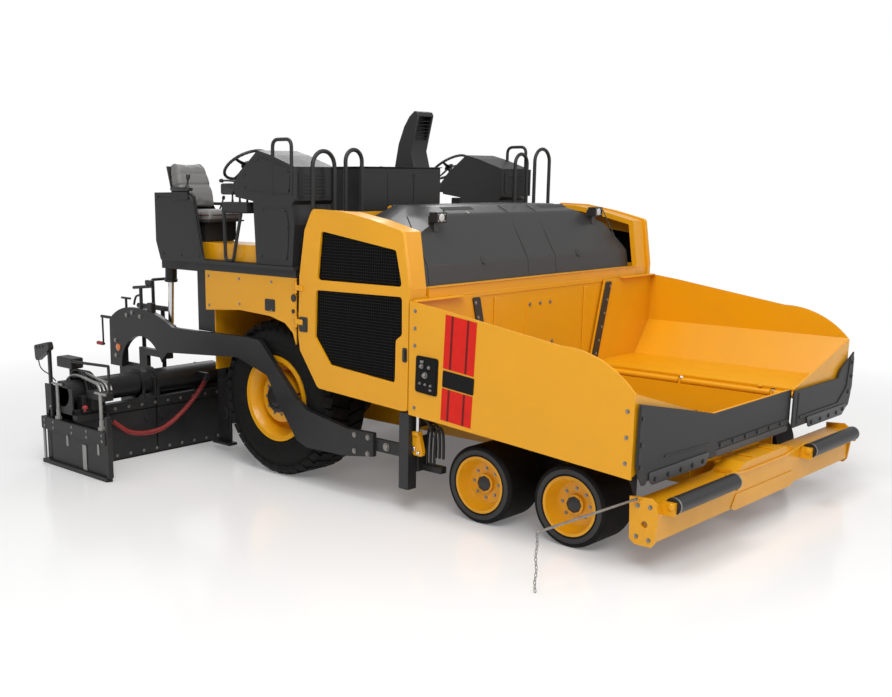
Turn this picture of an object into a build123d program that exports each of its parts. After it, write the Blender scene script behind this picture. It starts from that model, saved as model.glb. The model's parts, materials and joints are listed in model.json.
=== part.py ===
from build123d import *
import os
from math import cos, radians, sin, tan

os.makedirs("parts", exist_ok=True)

# Wheeled asphalt paver with a front hopper and a towed, extendable screed.
# Millimetres. +X is forward, +Y the machine's left, +Z up, ground at z = 0.
# Places whose names end in _X are measured from the drive axle, forward positive.
# The origin lies on the ground, midway between the push rollers' front and the depth cranks' rear.
FRONT_REACH = 3534.0
REAR_REACH = 2480.0
REAR_AXLE_X = (REAR_REACH - FRONT_REACH) / 2
SEAT_GAP = 0.3

# Wheels
DRIVE_TYRE_R = 632.0
DRIVE_TYRE_WIDTH = 445.0
DRIVE_RIM_R = 351.0
DRIVE_BEAD_R = 318.0
DRIVE_TRACK_Y = 1308.0
DRIVE_HUB_R = 90.0
HOUSING_R = 215.0
BOGIE_TYRE_R = 279.5
BOGIE_TYRE_WIDTH = 356.0
BOGIE_RIM_R = 203.0
BOGIE_TRACK_Y = 1242.0
BOGIE_PIVOT_X = 2380.0
BOGIE_WHEELBASE = 741.0
KINGPIN_Y = 975.0
KINGPIN_R = 42.0
TRUNNION_R = 25.0
STUB_R = 38.0
RUNNING_FIT = 0.05

# Main frame
PLATE = 12.0
FRAME_Y = 640.0
FRAME_PLATE = 20.0
FRAME_BOTTOM_Z = 360.0
FRAME_TOP_Z = 790.0
FRAME_REAR_X = -760.0
FRAME_FRONT_X = 3180.0
REAR_TIE_X = -700.0
REAR_TIE_Z = 470.0
TIE_DOWN_R = 22.0
NOSE_X = 3120.0
HALF_WIDTH = 1625.0

# Slat conveyors
BED_Z = 576.0
BED_T = 16.0
BED_REAR_X = -700.0
BED_FRONT_X = 3070.0
CHAIN_LOOP_R = 62.0
CHAIN_T = 22.0
CHAIN_WIDTH = 30.0
CONVEYOR_WIDTH = 540.0
CONVEYOR_MID_Y = 306.0
SLAT_PITCH = 162.0
SLAT_WIDTH = 32.0
SLAT_HEIGHT = 30.0
CHAIN_SHAFT_R = 28.0

# Hopper
WING_HINGE_Y = 640.0
WING_HINGE_R = 22.0
WING_HINGE_Z = FRAME_TOP_Z + WING_HINGE_R + SEAT_GAP
WING_PIN_R = 11.0
WING_REAR_X = 1527.0
WING_FRONT_X = 3310.0
WING_FLOOR_Z = 858.0
WING_KNEE_Y = 1400.0
WING_SLOPE_TOP_Z = 1140.0
BULKHEAD_X = 1500.0
FLANGE_BOTTOM_Z = 1560.0
FLANGE_TOP_Z = 1618.0
FLAP_T = 14.0
FLAP_BOTTOM_Z = 575.0

# Body
DOOR_REAR_X = 392.0
DOOR_PIN_X = 381.0
DOOR_PIN_R = 6.0
DOOR_HINGE_Z = (1300.0, 1560.0)
DOOR_T = 36.0
MESH_T = 6.0
POD_INNER_Y = 1420.0
DECK_TOP_Z = 1690.0
DECK_T = 60.0
DECK_REAR_X = -970.0
DECK_FRONT_X = 488.0
HOOD_HINGE_X = 522.0
HOOD_HINGE_Z = 2150.0
HOOD_HINGE_R = 12.0
HOOD_REAR_X = 548.0
HOOD_FRONT_X = 1425.0
HOOD_TOP_Z = 2170.0
HOOD_HALF_WIDTH = 1400.0
HOOD_SKIN = 14.0

# Operator stations: middle of each across the machine, the right one slid out, the left one in
STATION_Y = {"right": -1440.0, "left": 1110.0}
STATION_HALF_WIDTH = 225.0
STATION_REAR_X = -1350.0
STATION_FRONT_X = 385.0
HELM_X = -395.0
HELM_Z = 2470.0
HELM_R = 190.0
HELM_TILT = 35.0

# Screed and its tow arms
TOW_PIN_X = 1457.0
TOW_PIN_Z = 450.0
TOW_PIN_R = 20.0
TOW_RAIL_Y = 1500.0
TOW_ARM_Y = 1545.0
TOW_ARM_T = 45.0
SCREED_HALF_WIDTH = 1525.0
SCREED_REAR_X = -2190.0
SCREED_FRONT_X = -1745.0
SCREED_HEIGHT = 480.0
EXTENSION_REAR_X = -1722.0
EXTENSION_FRONT_X = -1300.0
EXTENSION_LENGTH = 1595.0
EXTENSION_INNER_Y = 1000.0
EXTENSION_HEIGHT = 500.0
GUIDE_TUBE_R = 105.0
GUIDE_TUBE_X = -1450.0
GUIDE_TUBE_Z = 617.0
GATE_T = 26.0
GATE_REAR_X = -1714.0
GATE_FRONT_X = -770.0
GATE_HEIGHT = 400.0

# Augers
AUGER_X = -975.0
AUGER_Z = 335.0
AUGER_R = 203.0
AUGER_SHAFT_R = 45.0
AUGER_STUB_R = 28.0
AUGER_PITCH = 300.0
AUGER_INNER_Y = 112.0
AUGER_OUTER_Y = 1190.0
FLIGHT_T = 12.0
FLIGHT_STEP = 30

# Screed lift cylinders
LIFT_TOP_X = -1430.0
LIFT_EYE_X = -1480.0
LIFT_Y = 1440.0
LIFT_TOP_Z = 1975.0
LIFT_EYE_Z = 1060.0
LIFT_BARREL_R = 52.0
LIFT_BARREL_END = 500.0
LIFT_ROD_R = 26.0
LIFT_PIN_R = 20.0

# Push beam
BEAM_FRONT_X = 3420.0
BEAM_REAR_X = 3252.0
BEAM_BOTTOM_Z = 205.0
BEAM_TOP_Z = 440.0
BEAM_HALF_WIDTH = 1490.0
BEAM_TIE_X = 3350.0
BEAM_TIE_Z = 310.0
BEAM_PIN_X = 3195.0
BEAM_PIN_R = 35.0
ROLLER_R = 54.0
ROLLER_X = FRONT_REACH - ROLLER_R
ROLLER_Z = 430.0
ROLLER_INNER_Y = 600.0
ROLLER_OUTER_Y = 1400.0
ROLLER_PIN_R = 14.0

SIDES = (("right", -1), ("left", 1))


def side_plane(y):
    """Upright plane along the machine: sketches hold (x from the drive axle, z); its normal is -Y."""
    return Plane(origin=(REAR_AXLE_X, y, 0), x_dir=(1, 0, 0), z_dir=(0, -1, 0))


def cross_plane(x):
    """Upright plane across the machine: sketches hold (y, z); its normal is +X."""
    return Plane(origin=(REAR_AXLE_X + x, 0, 0), x_dir=(0, 1, 0), z_dir=(1, 0, 0))


def level_plane(z):
    """Level plane at height z: sketches hold (x from the drive axle, y); its normal is +Z."""
    return Plane(origin=(REAR_AXLE_X, 0, z), x_dir=(1, 0, 0), z_dir=(0, 0, 1))


def block(x_span, y_span, z_span, mode=Mode.ADD):
    """Box between two x, two y and two z."""
    with Locations((REAR_AXLE_X + sum(x_span) / 2, sum(y_span) / 2, sum(z_span) / 2)):
        Box(abs(x_span[1] - x_span[0]), abs(y_span[1] - y_span[0]), abs(z_span[1] - z_span[0]), mode=mode)


def cross_rod(x, y_span, z, radius, mode=Mode.ADD):
    """Round bar along Y."""
    with Locations(Location((REAR_AXLE_X + x, sum(y_span) / 2, z), (90, 0, 0))):
        Cylinder(radius, abs(y_span[1] - y_span[0]), mode=mode)


def upright_rod(x, y, z_span, radius, mode=Mode.ADD):
    """Round bar along Z."""
    with Locations((REAR_AXLE_X + x, y, sum(z_span) / 2)):
        Cylinder(radius, z_span[1] - z_span[0], mode=mode)


def long_rod(x_span, y, z, radius, mode=Mode.ADD):
    """Round bar along X."""
    with Locations(Location((REAR_AXLE_X + sum(x_span) / 2, y, z), (0, 90, 0))):
        Cylinder(radius, x_span[1] - x_span[0], mode=mode)


# Main frame: two long side plates with cross members, drive axle housings,
# bogie pivots, tow-point rails and the nose that carries the push beam.
with BuildPart() as main_frame:
    for name, s in SIDES:
        block((FRAME_REAR_X, FRAME_FRONT_X), (s * FRAME_Y, s * (FRAME_Y - FRAME_PLATE)), (FRAME_BOTTOM_Z, FRAME_TOP_Z))
        cross_rod(0, (s * FRAME_Y, s * 1060), DRIVE_TYRE_R, 280)
        cross_rod(0, (s * 1060, s * 1248), DRIVE_TYRE_R, HOUSING_R)
        cross_rod(0, (s * 1248, s * 1378), DRIVE_TYRE_R, DRIVE_HUB_R)
        cross_rod(BOGIE_PIVOT_X, (s * FRAME_Y, s * 880), 400, 60)
        block((1418, 1496), (s * FRAME_Y, s * TOW_RAIL_Y), (620, 740))
        block((1410, 1500), (s * TOW_RAIL_Y, s * (TOW_ARM_Y + TOW_ARM_T)), (175, 740))
        block((1400, TOW_PIN_X + 32), (s * (TOW_ARM_Y - 15), s * (TOW_ARM_Y + 20)), (300, 600), mode=Mode.SUBTRACT)
        cross_rod(TOW_PIN_X, (s * (TOW_RAIL_Y + 2), s * (TOW_ARM_Y + 40)), TOW_PIN_Z, TOW_PIN_R)
        cross_rod(REAR_TIE_X, (s * (FRAME_Y - FRAME_PLATE - 1), s * (FRAME_Y + 1)), REAR_TIE_Z, TIE_DOWN_R, mode=Mode.SUBTRACT)
        for x in (WING_REAR_X + 60, 2400, WING_FRONT_X - 160):
            block((x - 10, x + 10), (s * (WING_HINGE_Y - 18), s * (WING_HINGE_Y - 0.1)), (FRAME_TOP_Z - 40, WING_HINGE_Z + 20))
        long_rod((WING_REAR_X + 40, WING_FRONT_X - 140), s * WING_HINGE_Y, WING_HINGE_Z, WING_PIN_R)
    for x_span, z_span in (
        ((FRAME_REAR_X, FRAME_REAR_X + 60), (FRAME_BOTTOM_Z, 440)),
        ((300, 420), (FRAME_BOTTOM_Z, 440)),
        ((1380, 1500), (FRAME_BOTTOM_Z, 440)),
        ((2300, 2460), (FRAME_BOTTOM_Z, 440)),
        ((NOSE_X - 120, NOSE_X), (FRAME_BOTTOM_Z, 440)),
    ):
        block(x_span, (-FRAME_Y + FRAME_PLATE, FRAME_Y - FRAME_PLATE), z_span)
    # Floor of the engine bay, which is the roof of the conveyor tunnel
    block((FRAME_REAR_X, BULKHEAD_X), (-FRAME_Y + FRAME_PLATE, FRAME_Y - FRAME_PLATE), (FRAME_TOP_Z - PLATE, FRAME_TOP_Z))
    # Two nose plates with the push beam's upright pin between them
    block((NOSE_X - 120, NOSE_X), (-420, 420), (236, FRAME_BOTTOM_Z))
    for z_span in ((236, 260), (400, 424)):
        block((NOSE_X, BEAM_PIN_X + 42), (-160, 160), z_span)
    upright_rod(BEAM_PIN_X, 0, (236, 424), BEAM_PIN_R)
    # Drop arms that carry the auger shafts
    for y in (-60, 60):
        block((AUGER_X - 60, FRAME_REAR_X), (y - 10, y + 10), (AUGER_Z - 60, 520))
        cross_rod(AUGER_X, (y - 10, y + 10), AUGER_Z, AUGER_STUB_R + RUNNING_FIT, mode=Mode.SUBTRACT)
    block((AUGER_X - 60, FRAME_REAR_X), (-70, 70), (500, 520))
main_frame.part.label = "main_frame"
export_step(main_frame.part, "parts/main_frame.step")

# Engine and pumps as one mass on the bay floor
with BuildPart() as engine_block:
    block((620, 1320), (-400, 400), (FRAME_TOP_Z, 1480))
engine_block.part.label = "engine_block"
export_step(engine_block.part, "parts/engine_block.step")

# Conveyor bed: floor plate, centre ridge, shafts with their sprockets, sloped front plate
with BuildPart() as conveyor_bed:
    inner_y = FRAME_Y - FRAME_PLATE
    block((BED_REAR_X, BED_FRONT_X), (-inner_y, inner_y), (BED_Z - BED_T, BED_Z))
    block((BED_REAR_X, BED_FRONT_X), (-18, 18), (BED_Z, BED_Z + 70))
    with BuildSketch(side_plane(inner_y)):
        with BuildLine():
            Polyline((3150, 560), (3170, 560), (3258, 768), (3238, 768), close=True)
        make_face()
    extrude(amount=2 * inner_y)
    upper_y = inner_y - 30
    with BuildSketch(side_plane(upper_y)):
        with BuildLine():
            Polyline((3238, 768), (3258, 768), (3296, WING_FLOOR_Z), (3276, WING_FLOOR_Z), close=True)
        make_face()
    extrude(amount=2 * upper_y)
    for x in (BED_REAR_X, BED_FRONT_X):
        cross_rod(x, (-inner_y, inner_y), BED_Z + CHAIN_T - CHAIN_LOOP_R + SEAT_GAP, CHAIN_SHAFT_R)
        for middle in (-CONVEYOR_MID_Y, CONVEYOR_MID_Y):
            for edge in (-1, 1):
                y = middle + edge * (CONVEYOR_WIDTH - CHAIN_WIDTH) / 2
                sprocket_z = BED_Z + CHAIN_T - CHAIN_LOOP_R + SEAT_GAP
                cross_rod(x, (y - 12, y + 12), sprocket_z, CHAIN_LOOP_R - CHAIN_T - SEAT_GAP)
conveyor_bed.part.label = "conveyor_bed"
export_step(conveyor_bed.part, "parts/conveyor_bed.step")

# Slat conveyors: per conveyor two endless chains joined by slats, above and below the bed
with BuildPart() as conveyor_slats:
    run = BED_FRONT_X - BED_REAR_X
    loop_z = BED_Z + CHAIN_T - CHAIN_LOOP_R + SEAT_GAP
    for middle in (-CONVEYOR_MID_Y, CONVEYOR_MID_Y):
        for edge in (-1, 1):
            y = middle + edge * (CONVEYOR_WIDTH - CHAIN_WIDTH) / 2
            with BuildSketch(side_plane(y + CHAIN_WIDTH / 2)):
                with Locations(((BED_REAR_X + BED_FRONT_X) / 2, loop_z)):
                    SlotCenterToCenter(run, 2 * CHAIN_LOOP_R)
                    SlotCenterToCenter(run, 2 * (CHAIN_LOOP_R - CHAIN_T), mode=Mode.SUBTRACT)
            extrude(amount=CHAIN_WIDTH)
        for i in range(int(run / SLAT_PITCH) + 1):
            x = BED_REAR_X + 40 + i * SLAT_PITCH
            slat_y = (middle - CONVEYOR_WIDTH / 2 + 5, middle + CONVEYOR_WIDTH / 2 - 5)
            top = loop_z + CHAIN_LOOP_R
            block((x - SLAT_WIDTH / 2, x + SLAT_WIDTH / 2), slat_y, (top - CHAIN_T + 2, top - CHAIN_T + 2 + SLAT_HEIGHT))
            low = loop_z - CHAIN_LOOP_R
            block((x - SLAT_WIDTH / 2, x + SLAT_WIDTH / 2), slat_y, (low + CHAIN_T - 2 - SLAT_HEIGHT, low + CHAIN_T - 2))
conveyor_slats.part.label = "conveyor_slats"
export_step(conveyor_slats.part, "parts/conveyor_slats.step")

# Hopper bulkhead with its access plate, and the flange on which the hood lies
with BuildPart() as hopper_bulkhead:
    block((BULKHEAD_X, BULKHEAD_X + PLATE), (-HOOD_HALF_WIDTH, HOOD_HALF_WIDTH), (FRAME_TOP_Z, FLANGE_TOP_Z))
    block((1380, BULKHEAD_X), (-HOOD_HALF_WIDTH, HOOD_HALF_WIDTH), (FLANGE_BOTTOM_Z, FLANGE_TOP_Z))
    block((1380, BULKHEAD_X - PLATE), (-HOOD_HALF_WIDTH + PLATE, HOOD_HALF_WIDTH - PLATE), (FLANGE_BOTTOM_Z, FLANGE_TOP_Z - PLATE), mode=Mode.SUBTRACT)
    with BuildSketch(cross_plane(BULKHEAD_X + PLATE)):
        with BuildLine():
            Polyline((-275, 1050), (165, 1050), (110, 1450), (-215, 1450), close=True)
        make_face()
    extrude(amount=5)
hopper_bulkhead.part.label = "hopper_bulkhead"
export_step(hopper_bulkhead.part, "parts/hopper_bulkhead.step")

# Hopper wings: side wall, sloped sheet, floor and rear wall, folding up about a tube along the frame
for name, s in SIDES:
    with BuildPart() as wing:
        with BuildSketch(side_plane(s * HALF_WIDTH)):
            with BuildLine():
                Polyline((3310, 1130), (3310, 603), (2468, 671), (WING_REAR_X, 743), (WING_REAR_X, 1545), (1800, 1511), (2305, 1434), (2769, 1364))
                ThreePointArc((2769, 1364), (3120, 1280), (3310, 1130))
            make_face()
        extrude(amount=s * PLATE)
        with BuildSketch(cross_plane(WING_REAR_X)):
            with BuildLine():
                Polyline(
                    (s * (WING_HINGE_Y + 6), WING_FLOOR_Z),
                    (s * WING_KNEE_Y, WING_FLOOR_Z),
                    (s * (HALF_WIDTH - PLATE), WING_SLOPE_TOP_Z),
                    (s * (HALF_WIDTH - PLATE), WING_SLOPE_TOP_Z - 20),
                    (s * (WING_KNEE_Y + 6), WING_FLOOR_Z - PLATE),
                    (s * (WING_HINGE_Y + 6), WING_FLOOR_Z - PLATE),
                    close=True,
                )
            make_face()
        extrude(amount=WING_FRONT_X - WING_REAR_X)
        with BuildSketch(cross_plane(WING_REAR_X)):
            with BuildLine():
                Polyline((s * 672, WING_FLOOR_Z - PLATE), (s * (HALF_WIDTH - PLATE), WING_FLOOR_Z - PLATE), (s * (HALF_WIDTH - PLATE), 1540), (s * 850, 1540), close=True)
            make_face()
        extrude(amount=PLATE)
        with BuildSketch(cross_plane(WING_FRONT_X - PLATE)):
            with BuildLine():
                Polyline((s * 646, 846), (s * (HALF_WIDTH - PLATE), 620), (s * (HALF_WIDTH - PLATE), 1130), (s * 646, WING_FLOOR_Z), close=True)
            make_face()
        extrude(amount=PLATE)
        long_rod((WING_REAR_X, WING_FRONT_X), s * WING_HINGE_Y, WING_HINGE_Z, WING_HINGE_R)
        block((WING_REAR_X, WING_FRONT_X), (s * (WING_HINGE_Y + 8), s * (WING_HINGE_Y + 20)), (WING_HINGE_Z, WING_FLOOR_Z - 2))
        long_rod((WING_REAR_X + 35, WING_FRONT_X - 135), s * WING_HINGE_Y, WING_HINGE_Z, WING_PIN_R + RUNNING_FIT, mode=Mode.SUBTRACT)
        for x in (WING_REAR_X + 60, 2400, WING_FRONT_X - 160):
            block((x - 16, x + 16), (s * (WING_HINGE_Y - 60), s * (WING_HINGE_Y + 40)), (WING_HINGE_Z - 60, WING_FLOOR_Z - PLATE), mode=Mode.SUBTRACT)
    wing.part.label = "wing_" + name
    export_step(wing.part, "parts/wing_" + name + ".step")

    # Rubber apron flap hung on the wing's front edge
    with BuildPart() as flap:
        with BuildSketch(cross_plane(WING_FRONT_X + FLAP_T + 1)):
            with BuildLine():
                Polyline((s * 590, 580), (s * 590, 862), (s * 1600, 1075), (s * 1605, 660), (s * 1520, FLAP_BOTTOM_Z), close=True)
            make_face()
        extrude(amount=FLAP_T)
        block((WING_FRONT_X, WING_FRONT_X + FLAP_T + 1), (s * 720, s * 1560), (780, 840))
    flap.part.label = "flap_" + name
    export_step(flap.part, "parts/flap_" + name + ".step")

# Middle flap, fixed to the hopper's front plate
with BuildPart() as flap_centre:
    block((3296, 3296 + FLAP_T), (-600, 600), (FLAP_BOTTOM_Z, WING_FLOOR_Z))
    block((3296 + FLAP_T, 3296 + FLAP_T + 8), (-560, 560), (610, 650))
flap_centre.part.label = "flap_centre"
export_step(flap_centre.part, "parts/flap_centre.step")

# Bogie beams: one walking beam a side with a yoke at each end
with BuildPart() as bogie_beams:
    for name, s in SIDES:
        front = BOGIE_PIVOT_X + BOGIE_WHEELBASE / 2
        rear = BOGIE_PIVOT_X - BOGIE_WHEELBASE / 2
        with BuildSketch(side_plane(s * 720)):
            with BuildLine():
                Polyline((rear - 90, 150), (front + 90, 150), (front + 90, 440), (BOGIE_PIVOT_X + 150, 490), (BOGIE_PIVOT_X - 150, 490), (rear - 90, 440), close=True)
            make_face()
        extrude(amount=-s * 140)
        cross_rod(BOGIE_PIVOT_X, (s * 720, s * 860), 400, 60 + SEAT_GAP, mode=Mode.SUBTRACT)
        for x in (rear, front):
            for z_span in ((150, 185), (405, 440)):
                block((x - 60, x + 60), (s * 860, s * KINGPIN_Y), z_span)
                upright_rod(x, s * KINGPIN_Y, z_span, 60)
            upright_rod(x, s * KINGPIN_Y, (150, 440), TRUNNION_R + RUNNING_FIT, mode=Mode.SUBTRACT)
bogie_beams.part.label = "bogie_beams"
export_step(bogie_beams.part, "parts/bogie_beams.step")

# Steered bogie wheels, each on its knuckle
for name, s in SIDES:
    for place, x in (("rear", BOGIE_PIVOT_X - BOGIE_WHEELBASE / 2), ("front", BOGIE_PIVOT_X + BOGIE_WHEELBASE / 2)):
        with BuildPart() as knuckle:
            upright_rod(x, s * KINGPIN_Y, (187, 403), KINGPIN_R)
            upright_rod(x, s * KINGPIN_Y, (150, 440), TRUNNION_R)
            cross_rod(x, (s * KINGPIN_Y, s * 1190), BOGIE_TYRE_R, STUB_R)
            cross_rod(x, (s * 1000, s * 1060), BOGIE_TYRE_R, 70)
        knuckle.part.label = "knuckle_" + place + "_" + name
        export_step(knuckle.part, "parts/" + knuckle.part.label + ".step")

        inner = BOGIE_TRACK_Y - BOGIE_TYRE_WIDTH / 2
        outer = BOGIE_TRACK_Y + BOGIE_TYRE_WIDTH / 2
        with BuildPart() as rim:
            cross_rod(x, (s * inner, s * outer), BOGIE_TYRE_R, BOGIE_RIM_R)
            cross_rod(x, (s * inner, s * 1290), BOGIE_TYRE_R, BOGIE_RIM_R - 18, mode=Mode.SUBTRACT)
            cross_rod(x, (s * 1306, s * outer), BOGIE_TYRE_R, BOGIE_RIM_R - 18, mode=Mode.SUBTRACT)
            cross_rod(x, (s * 1100, s * 1370), BOGIE_TYRE_R, 80)
            cross_rod(x, (s * 1100, s * 1192), BOGIE_TYRE_R, STUB_R + RUNNING_FIT, mode=Mode.SUBTRACT)
        rim.part.label = "bogie_rim_" + place + "_" + name
        export_step(rim.part, "parts/" + rim.part.label + ".step")

        with BuildPart() as tyre:
            with BuildSketch(cross_plane(x)):
                with Locations((s * BOGIE_TRACK_Y, BOGIE_TYRE_R + (BOGIE_TYRE_R + BOGIE_RIM_R) / 2)):
                    RectangleRounded(BOGIE_TYRE_WIDTH, BOGIE_TYRE_R - BOGIE_RIM_R, 24)
                with Locations((s * BOGIE_TRACK_Y, BOGIE_TYRE_R + BOGIE_RIM_R + 20)):
                    Rectangle(BOGIE_TYRE_WIDTH, 40)
            revolve(axis=Axis((REAR_AXLE_X + x, 0, BOGIE_TYRE_R), (0, 1, 0)))
        tyre.part.label = "bogie_tyre_" + place + "_" + name
        export_step(tyre.part, "parts/" + tyre.part.label + ".step")

# Drive wheels
for name, s in SIDES:
    inner = DRIVE_TRACK_Y - DRIVE_TYRE_WIDTH / 2
    outer = DRIVE_TRACK_Y + DRIVE_TYRE_WIDTH / 2
    with BuildPart() as drive_rim:
        cross_rod(0, (s * (inner + 20), s * (outer - 15)), DRIVE_TYRE_R, DRIVE_BEAD_R)
        cross_rod(0, (s * (outer - 25), s * (outer - 10)), DRIVE_TYRE_R, DRIVE_RIM_R)
        cross_rod(0, (s * (inner + 10), s * (inner + 25)), DRIVE_TYRE_R, DRIVE_RIM_R)
        cross_rod(0, (s * (inner - 1), s * 1330), DRIVE_TYRE_R, DRIVE_BEAD_R - 20, mode=Mode.SUBTRACT)
        cross_rod(0, (s * 1352, s * outer), DRIVE_TYRE_R, DRIVE_BEAD_R - 20, mode=Mode.SUBTRACT)
        cross_rod(0, (s * 1260, s * 1440), DRIVE_TYRE_R, 150)
        cross_rod(0, (s * 1260, s * 1380), DRIVE_TYRE_R, DRIVE_HUB_R + RUNNING_FIT, mode=Mode.SUBTRACT)
    drive_rim.part.label = "drive_rim_" + name
    export_step(drive_rim.part, "parts/drive_rim_" + name + ".step")

    with BuildPart() as drive_tyre:
        with BuildSketch(cross_plane(0)):
            with BuildLine():
                half = DRIVE_TYRE_WIDTH / 2
                mid = s * DRIVE_TRACK_Y
                axle = DRIVE_TYRE_R
                Polyline(
                    (mid - half + 26, axle + DRIVE_BEAD_R),
                    (mid - half + 26, axle + DRIVE_RIM_R),
                    (mid - half, axle + 450),
                    (mid - half, axle + 520),
                    (mid - half + 40, axle + 600),
                    (mid - half + 70, axle + DRIVE_TYRE_R),
                    (mid + half - 70, axle + DRIVE_TYRE_R),
                    (mid + half - 40, axle + 600),
                    (mid + half, axle + 520),
                    (mid + half, axle + 450),
                    (mid + half - 26, axle + DRIVE_RIM_R),
                    (mid + half - 26, axle + DRIVE_BEAD_R),
                    close=True,
                )
            make_face()
        revolve(axis=Axis((REAR_AXLE_X, 0, DRIVE_TYRE_R), (0, 1, 0)))
    drive_tyre.part.label = "drive_tyre_" + name
    export_step(drive_tyre.part, "parts/drive_tyre_" + name + ".step")

# Body sides: the pods round the engine bay, the skirts over the drive wheels with their
# fender plates, and the bay's rear wall
DOOR_OUTLINE = (
    (1518, 1640), (1458, 2020), (1146, 2094), (847, 2144), (554, 2153), (470, 1996),
    (410, 1650), (DOOR_REAR_X, 1197), (410, 1082), (605, 812), (1445, 760), (1514, 760),
)
with BuildPart() as body_sides:
    for name, s in SIDES:
        with BuildSketch(side_plane(s * (HALF_WIDTH - DOOR_T - 6))):
            with BuildLine():
                Polyline((500, 792), (500, 1996), (560, 2140), (847, 2134), (1146, 2084), (1440, 2012), (1500, 1618), (1500, 792), close=True)
            make_face()
            with BuildLine():
                Polyline((540, 840), (540, 1980), (590, 2095), (840, 2092), (1120, 2046), (1400, 1980), (1455, 1620), (1455, 840), close=True)
            make_face(mode=Mode.SUBTRACT)
        extrude(amount=s * (HALF_WIDTH - DOOR_T - 6 - POD_INNER_Y))
        with BuildSketch(side_plane(s * HALF_WIDTH)):
            with BuildLine():
                Polyline((-735, 1630), (-735, 1302), (-297, 1335), (67, 1317), (241, 1277), (331, 1208), (365, 1119), (370, 1630), close=True)
            make_face()
        extrude(amount=s * PLATE)
        cross_rod(0, (s * 1080, s * 1600), DRIVE_TYRE_R, DRIVE_TYRE_R + 40, mode=Mode.SUBTRACT)
        block((-735, 488), (s * (FRAME_Y - 20), s * 1535), (1345, 1357))
        block((488, 500), (s * (POD_INNER_Y + 19), s * 1575), (1100, 1400))
        for hinge_z in DOOR_HINGE_Z:
            for z_span in ((hinge_z - 40, hinge_z - 21), (hinge_z + 21, hinge_z + 40)):
                block((345, DOOR_PIN_X), (s * (HALF_WIDTH - 1), s * (HALF_WIDTH + 16)), z_span)
                upright_rod(DOOR_PIN_X, s * (HALF_WIDTH + 10), z_span, 9)
            upright_rod(DOOR_PIN_X, s * (HALF_WIDTH + 10), (hinge_z - 32, hinge_z + 32), DOOR_PIN_R)
        block((BULKHEAD_X - 12, BULKHEAD_X), (s * (HOOD_HALF_WIDTH), s * POD_INNER_Y), (792, 1560))
    block((488, 500), (-1075, 1075), (FRAME_TOP_Z, 1100))
    block((488, 500), (-POD_INNER_Y - 20, POD_INNER_Y + 20), (1100, 2120))
    block((-735, -723), (-1535, 1535), (FRAME_TOP_Z, DECK_TOP_Z - DECK_T))
    for y in (-700, 0, 700):
        block((500, HOOD_HINGE_X), (y - 40, y + 40), (2060, 2120))
        cross_rod(HOOD_HINGE_X, (y - 40, y + 40), HOOD_HINGE_Z, HOOD_HINGE_R)
        block((HOOD_HINGE_X - 22, HOOD_HINGE_X + 8), (y - 40, y - 28), (2060, HOOD_HINGE_Z + 6))
        block((HOOD_HINGE_X - 22, HOOD_HINGE_X + 8), (y + 28, y + 40), (2060, HOOD_HINGE_Z + 6))
body_sides.part.label = "body_sides"
export_step(body_sides.part, "parts/body_sides.step")

# Doors: frame with two windows and a hinge tube, and the mesh plates behind the windows
for name, s in SIDES:
    with BuildPart() as door:
        with BuildSketch(side_plane(s * HALF_WIDTH)):
            with BuildLine():
                Polyline(*DOOR_OUTLINE, close=True)
            make_face()
            with BuildLine():
                Polyline((649, 1995), (1395, 1888), (1454, 1636), (603, 1632), close=True)
            make_face(mode=Mode.SUBTRACT)
            with BuildLine():
                Polyline((591, 1557), (1455, 1567), (1458, 1301), (1401, 1260), (1395, 951), (737, 1005), (576, 1201), close=True)
            make_face(mode=Mode.SUBTRACT)
        extrude(amount=s * DOOR_T)
        for hinge_z in DOOR_HINGE_Z:
            z_span = (hinge_z - 20, hinge_z + 20)
            block((DOOR_PIN_X, 450), (s * (HALF_WIDTH - 1), s * (HALF_WIDTH + 16)), z_span)
            upright_rod(DOOR_PIN_X, s * (HALF_WIDTH + 10), z_span, 9)
            upright_rod(DOOR_PIN_X, s * (HALF_WIDTH + 10), z_span, DOOR_PIN_R + RUNNING_FIT, mode=Mode.SUBTRACT)
    door.part.label = "door_" + name
    export_step(door.part, "parts/door_" + name + ".step")

    with BuildPart() as door_mesh:
        with BuildSketch(side_plane(s * (HALF_WIDTH - 20))):
            with BuildLine():
                Polyline((649, 1995), (1395, 1888), (1454, 1636), (603, 1632), close=True)
            make_face()
            with BuildLine():
                Polyline((591, 1557), (1455, 1567), (1458, 1301), (1401, 1260), (1395, 951), (737, 1005), (576, 1201), close=True)
            make_face()
        extrude(amount=s * MESH_T)
    door_mesh.part.label = "door_mesh_" + name
    export_step(door_mesh.part, "parts/door_mesh_" + name + ".step")

# Operator deck with its rear columns and the masts of the lift cylinders
with BuildPart() as operator_deck:
    block((DECK_REAR_X, 370), (-HALF_WIDTH, HALF_WIDTH), (DECK_TOP_Z - DECK_T, DECK_TOP_Z))
    block((300, DECK_FRONT_X), (-1580, 1580), (DECK_TOP_Z - DECK_T, DECK_TOP_Z))
    block((DECK_REAR_X + PLATE, DECK_FRONT_X - PLATE), (-1568, 1568), (DECK_TOP_Z - DECK_T, DECK_TOP_Z - PLATE), mode=Mode.SUBTRACT)
    for name, s in SIDES:
        block((DECK_REAR_X, -735), (s * 1390, s * 1525), (1100, DECK_TOP_Z - DECK_T))
        for y in (LIFT_Y - 70, LIFT_Y + 56):
            block((LIFT_TOP_X - 60, DECK_REAR_X + PLATE), (s * y, s * (y + 14)), (1600, 1680))
            block((LIFT_TOP_X - 60, LIFT_TOP_X + 50), (s * y, s * (y + 14)), (1600, LIFT_TOP_Z + 45))
        cross_rod(LIFT_TOP_X, (s * (LIFT_Y - 60), s * (LIFT_Y + 60)), LIFT_TOP_Z, LIFT_PIN_R)
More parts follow.
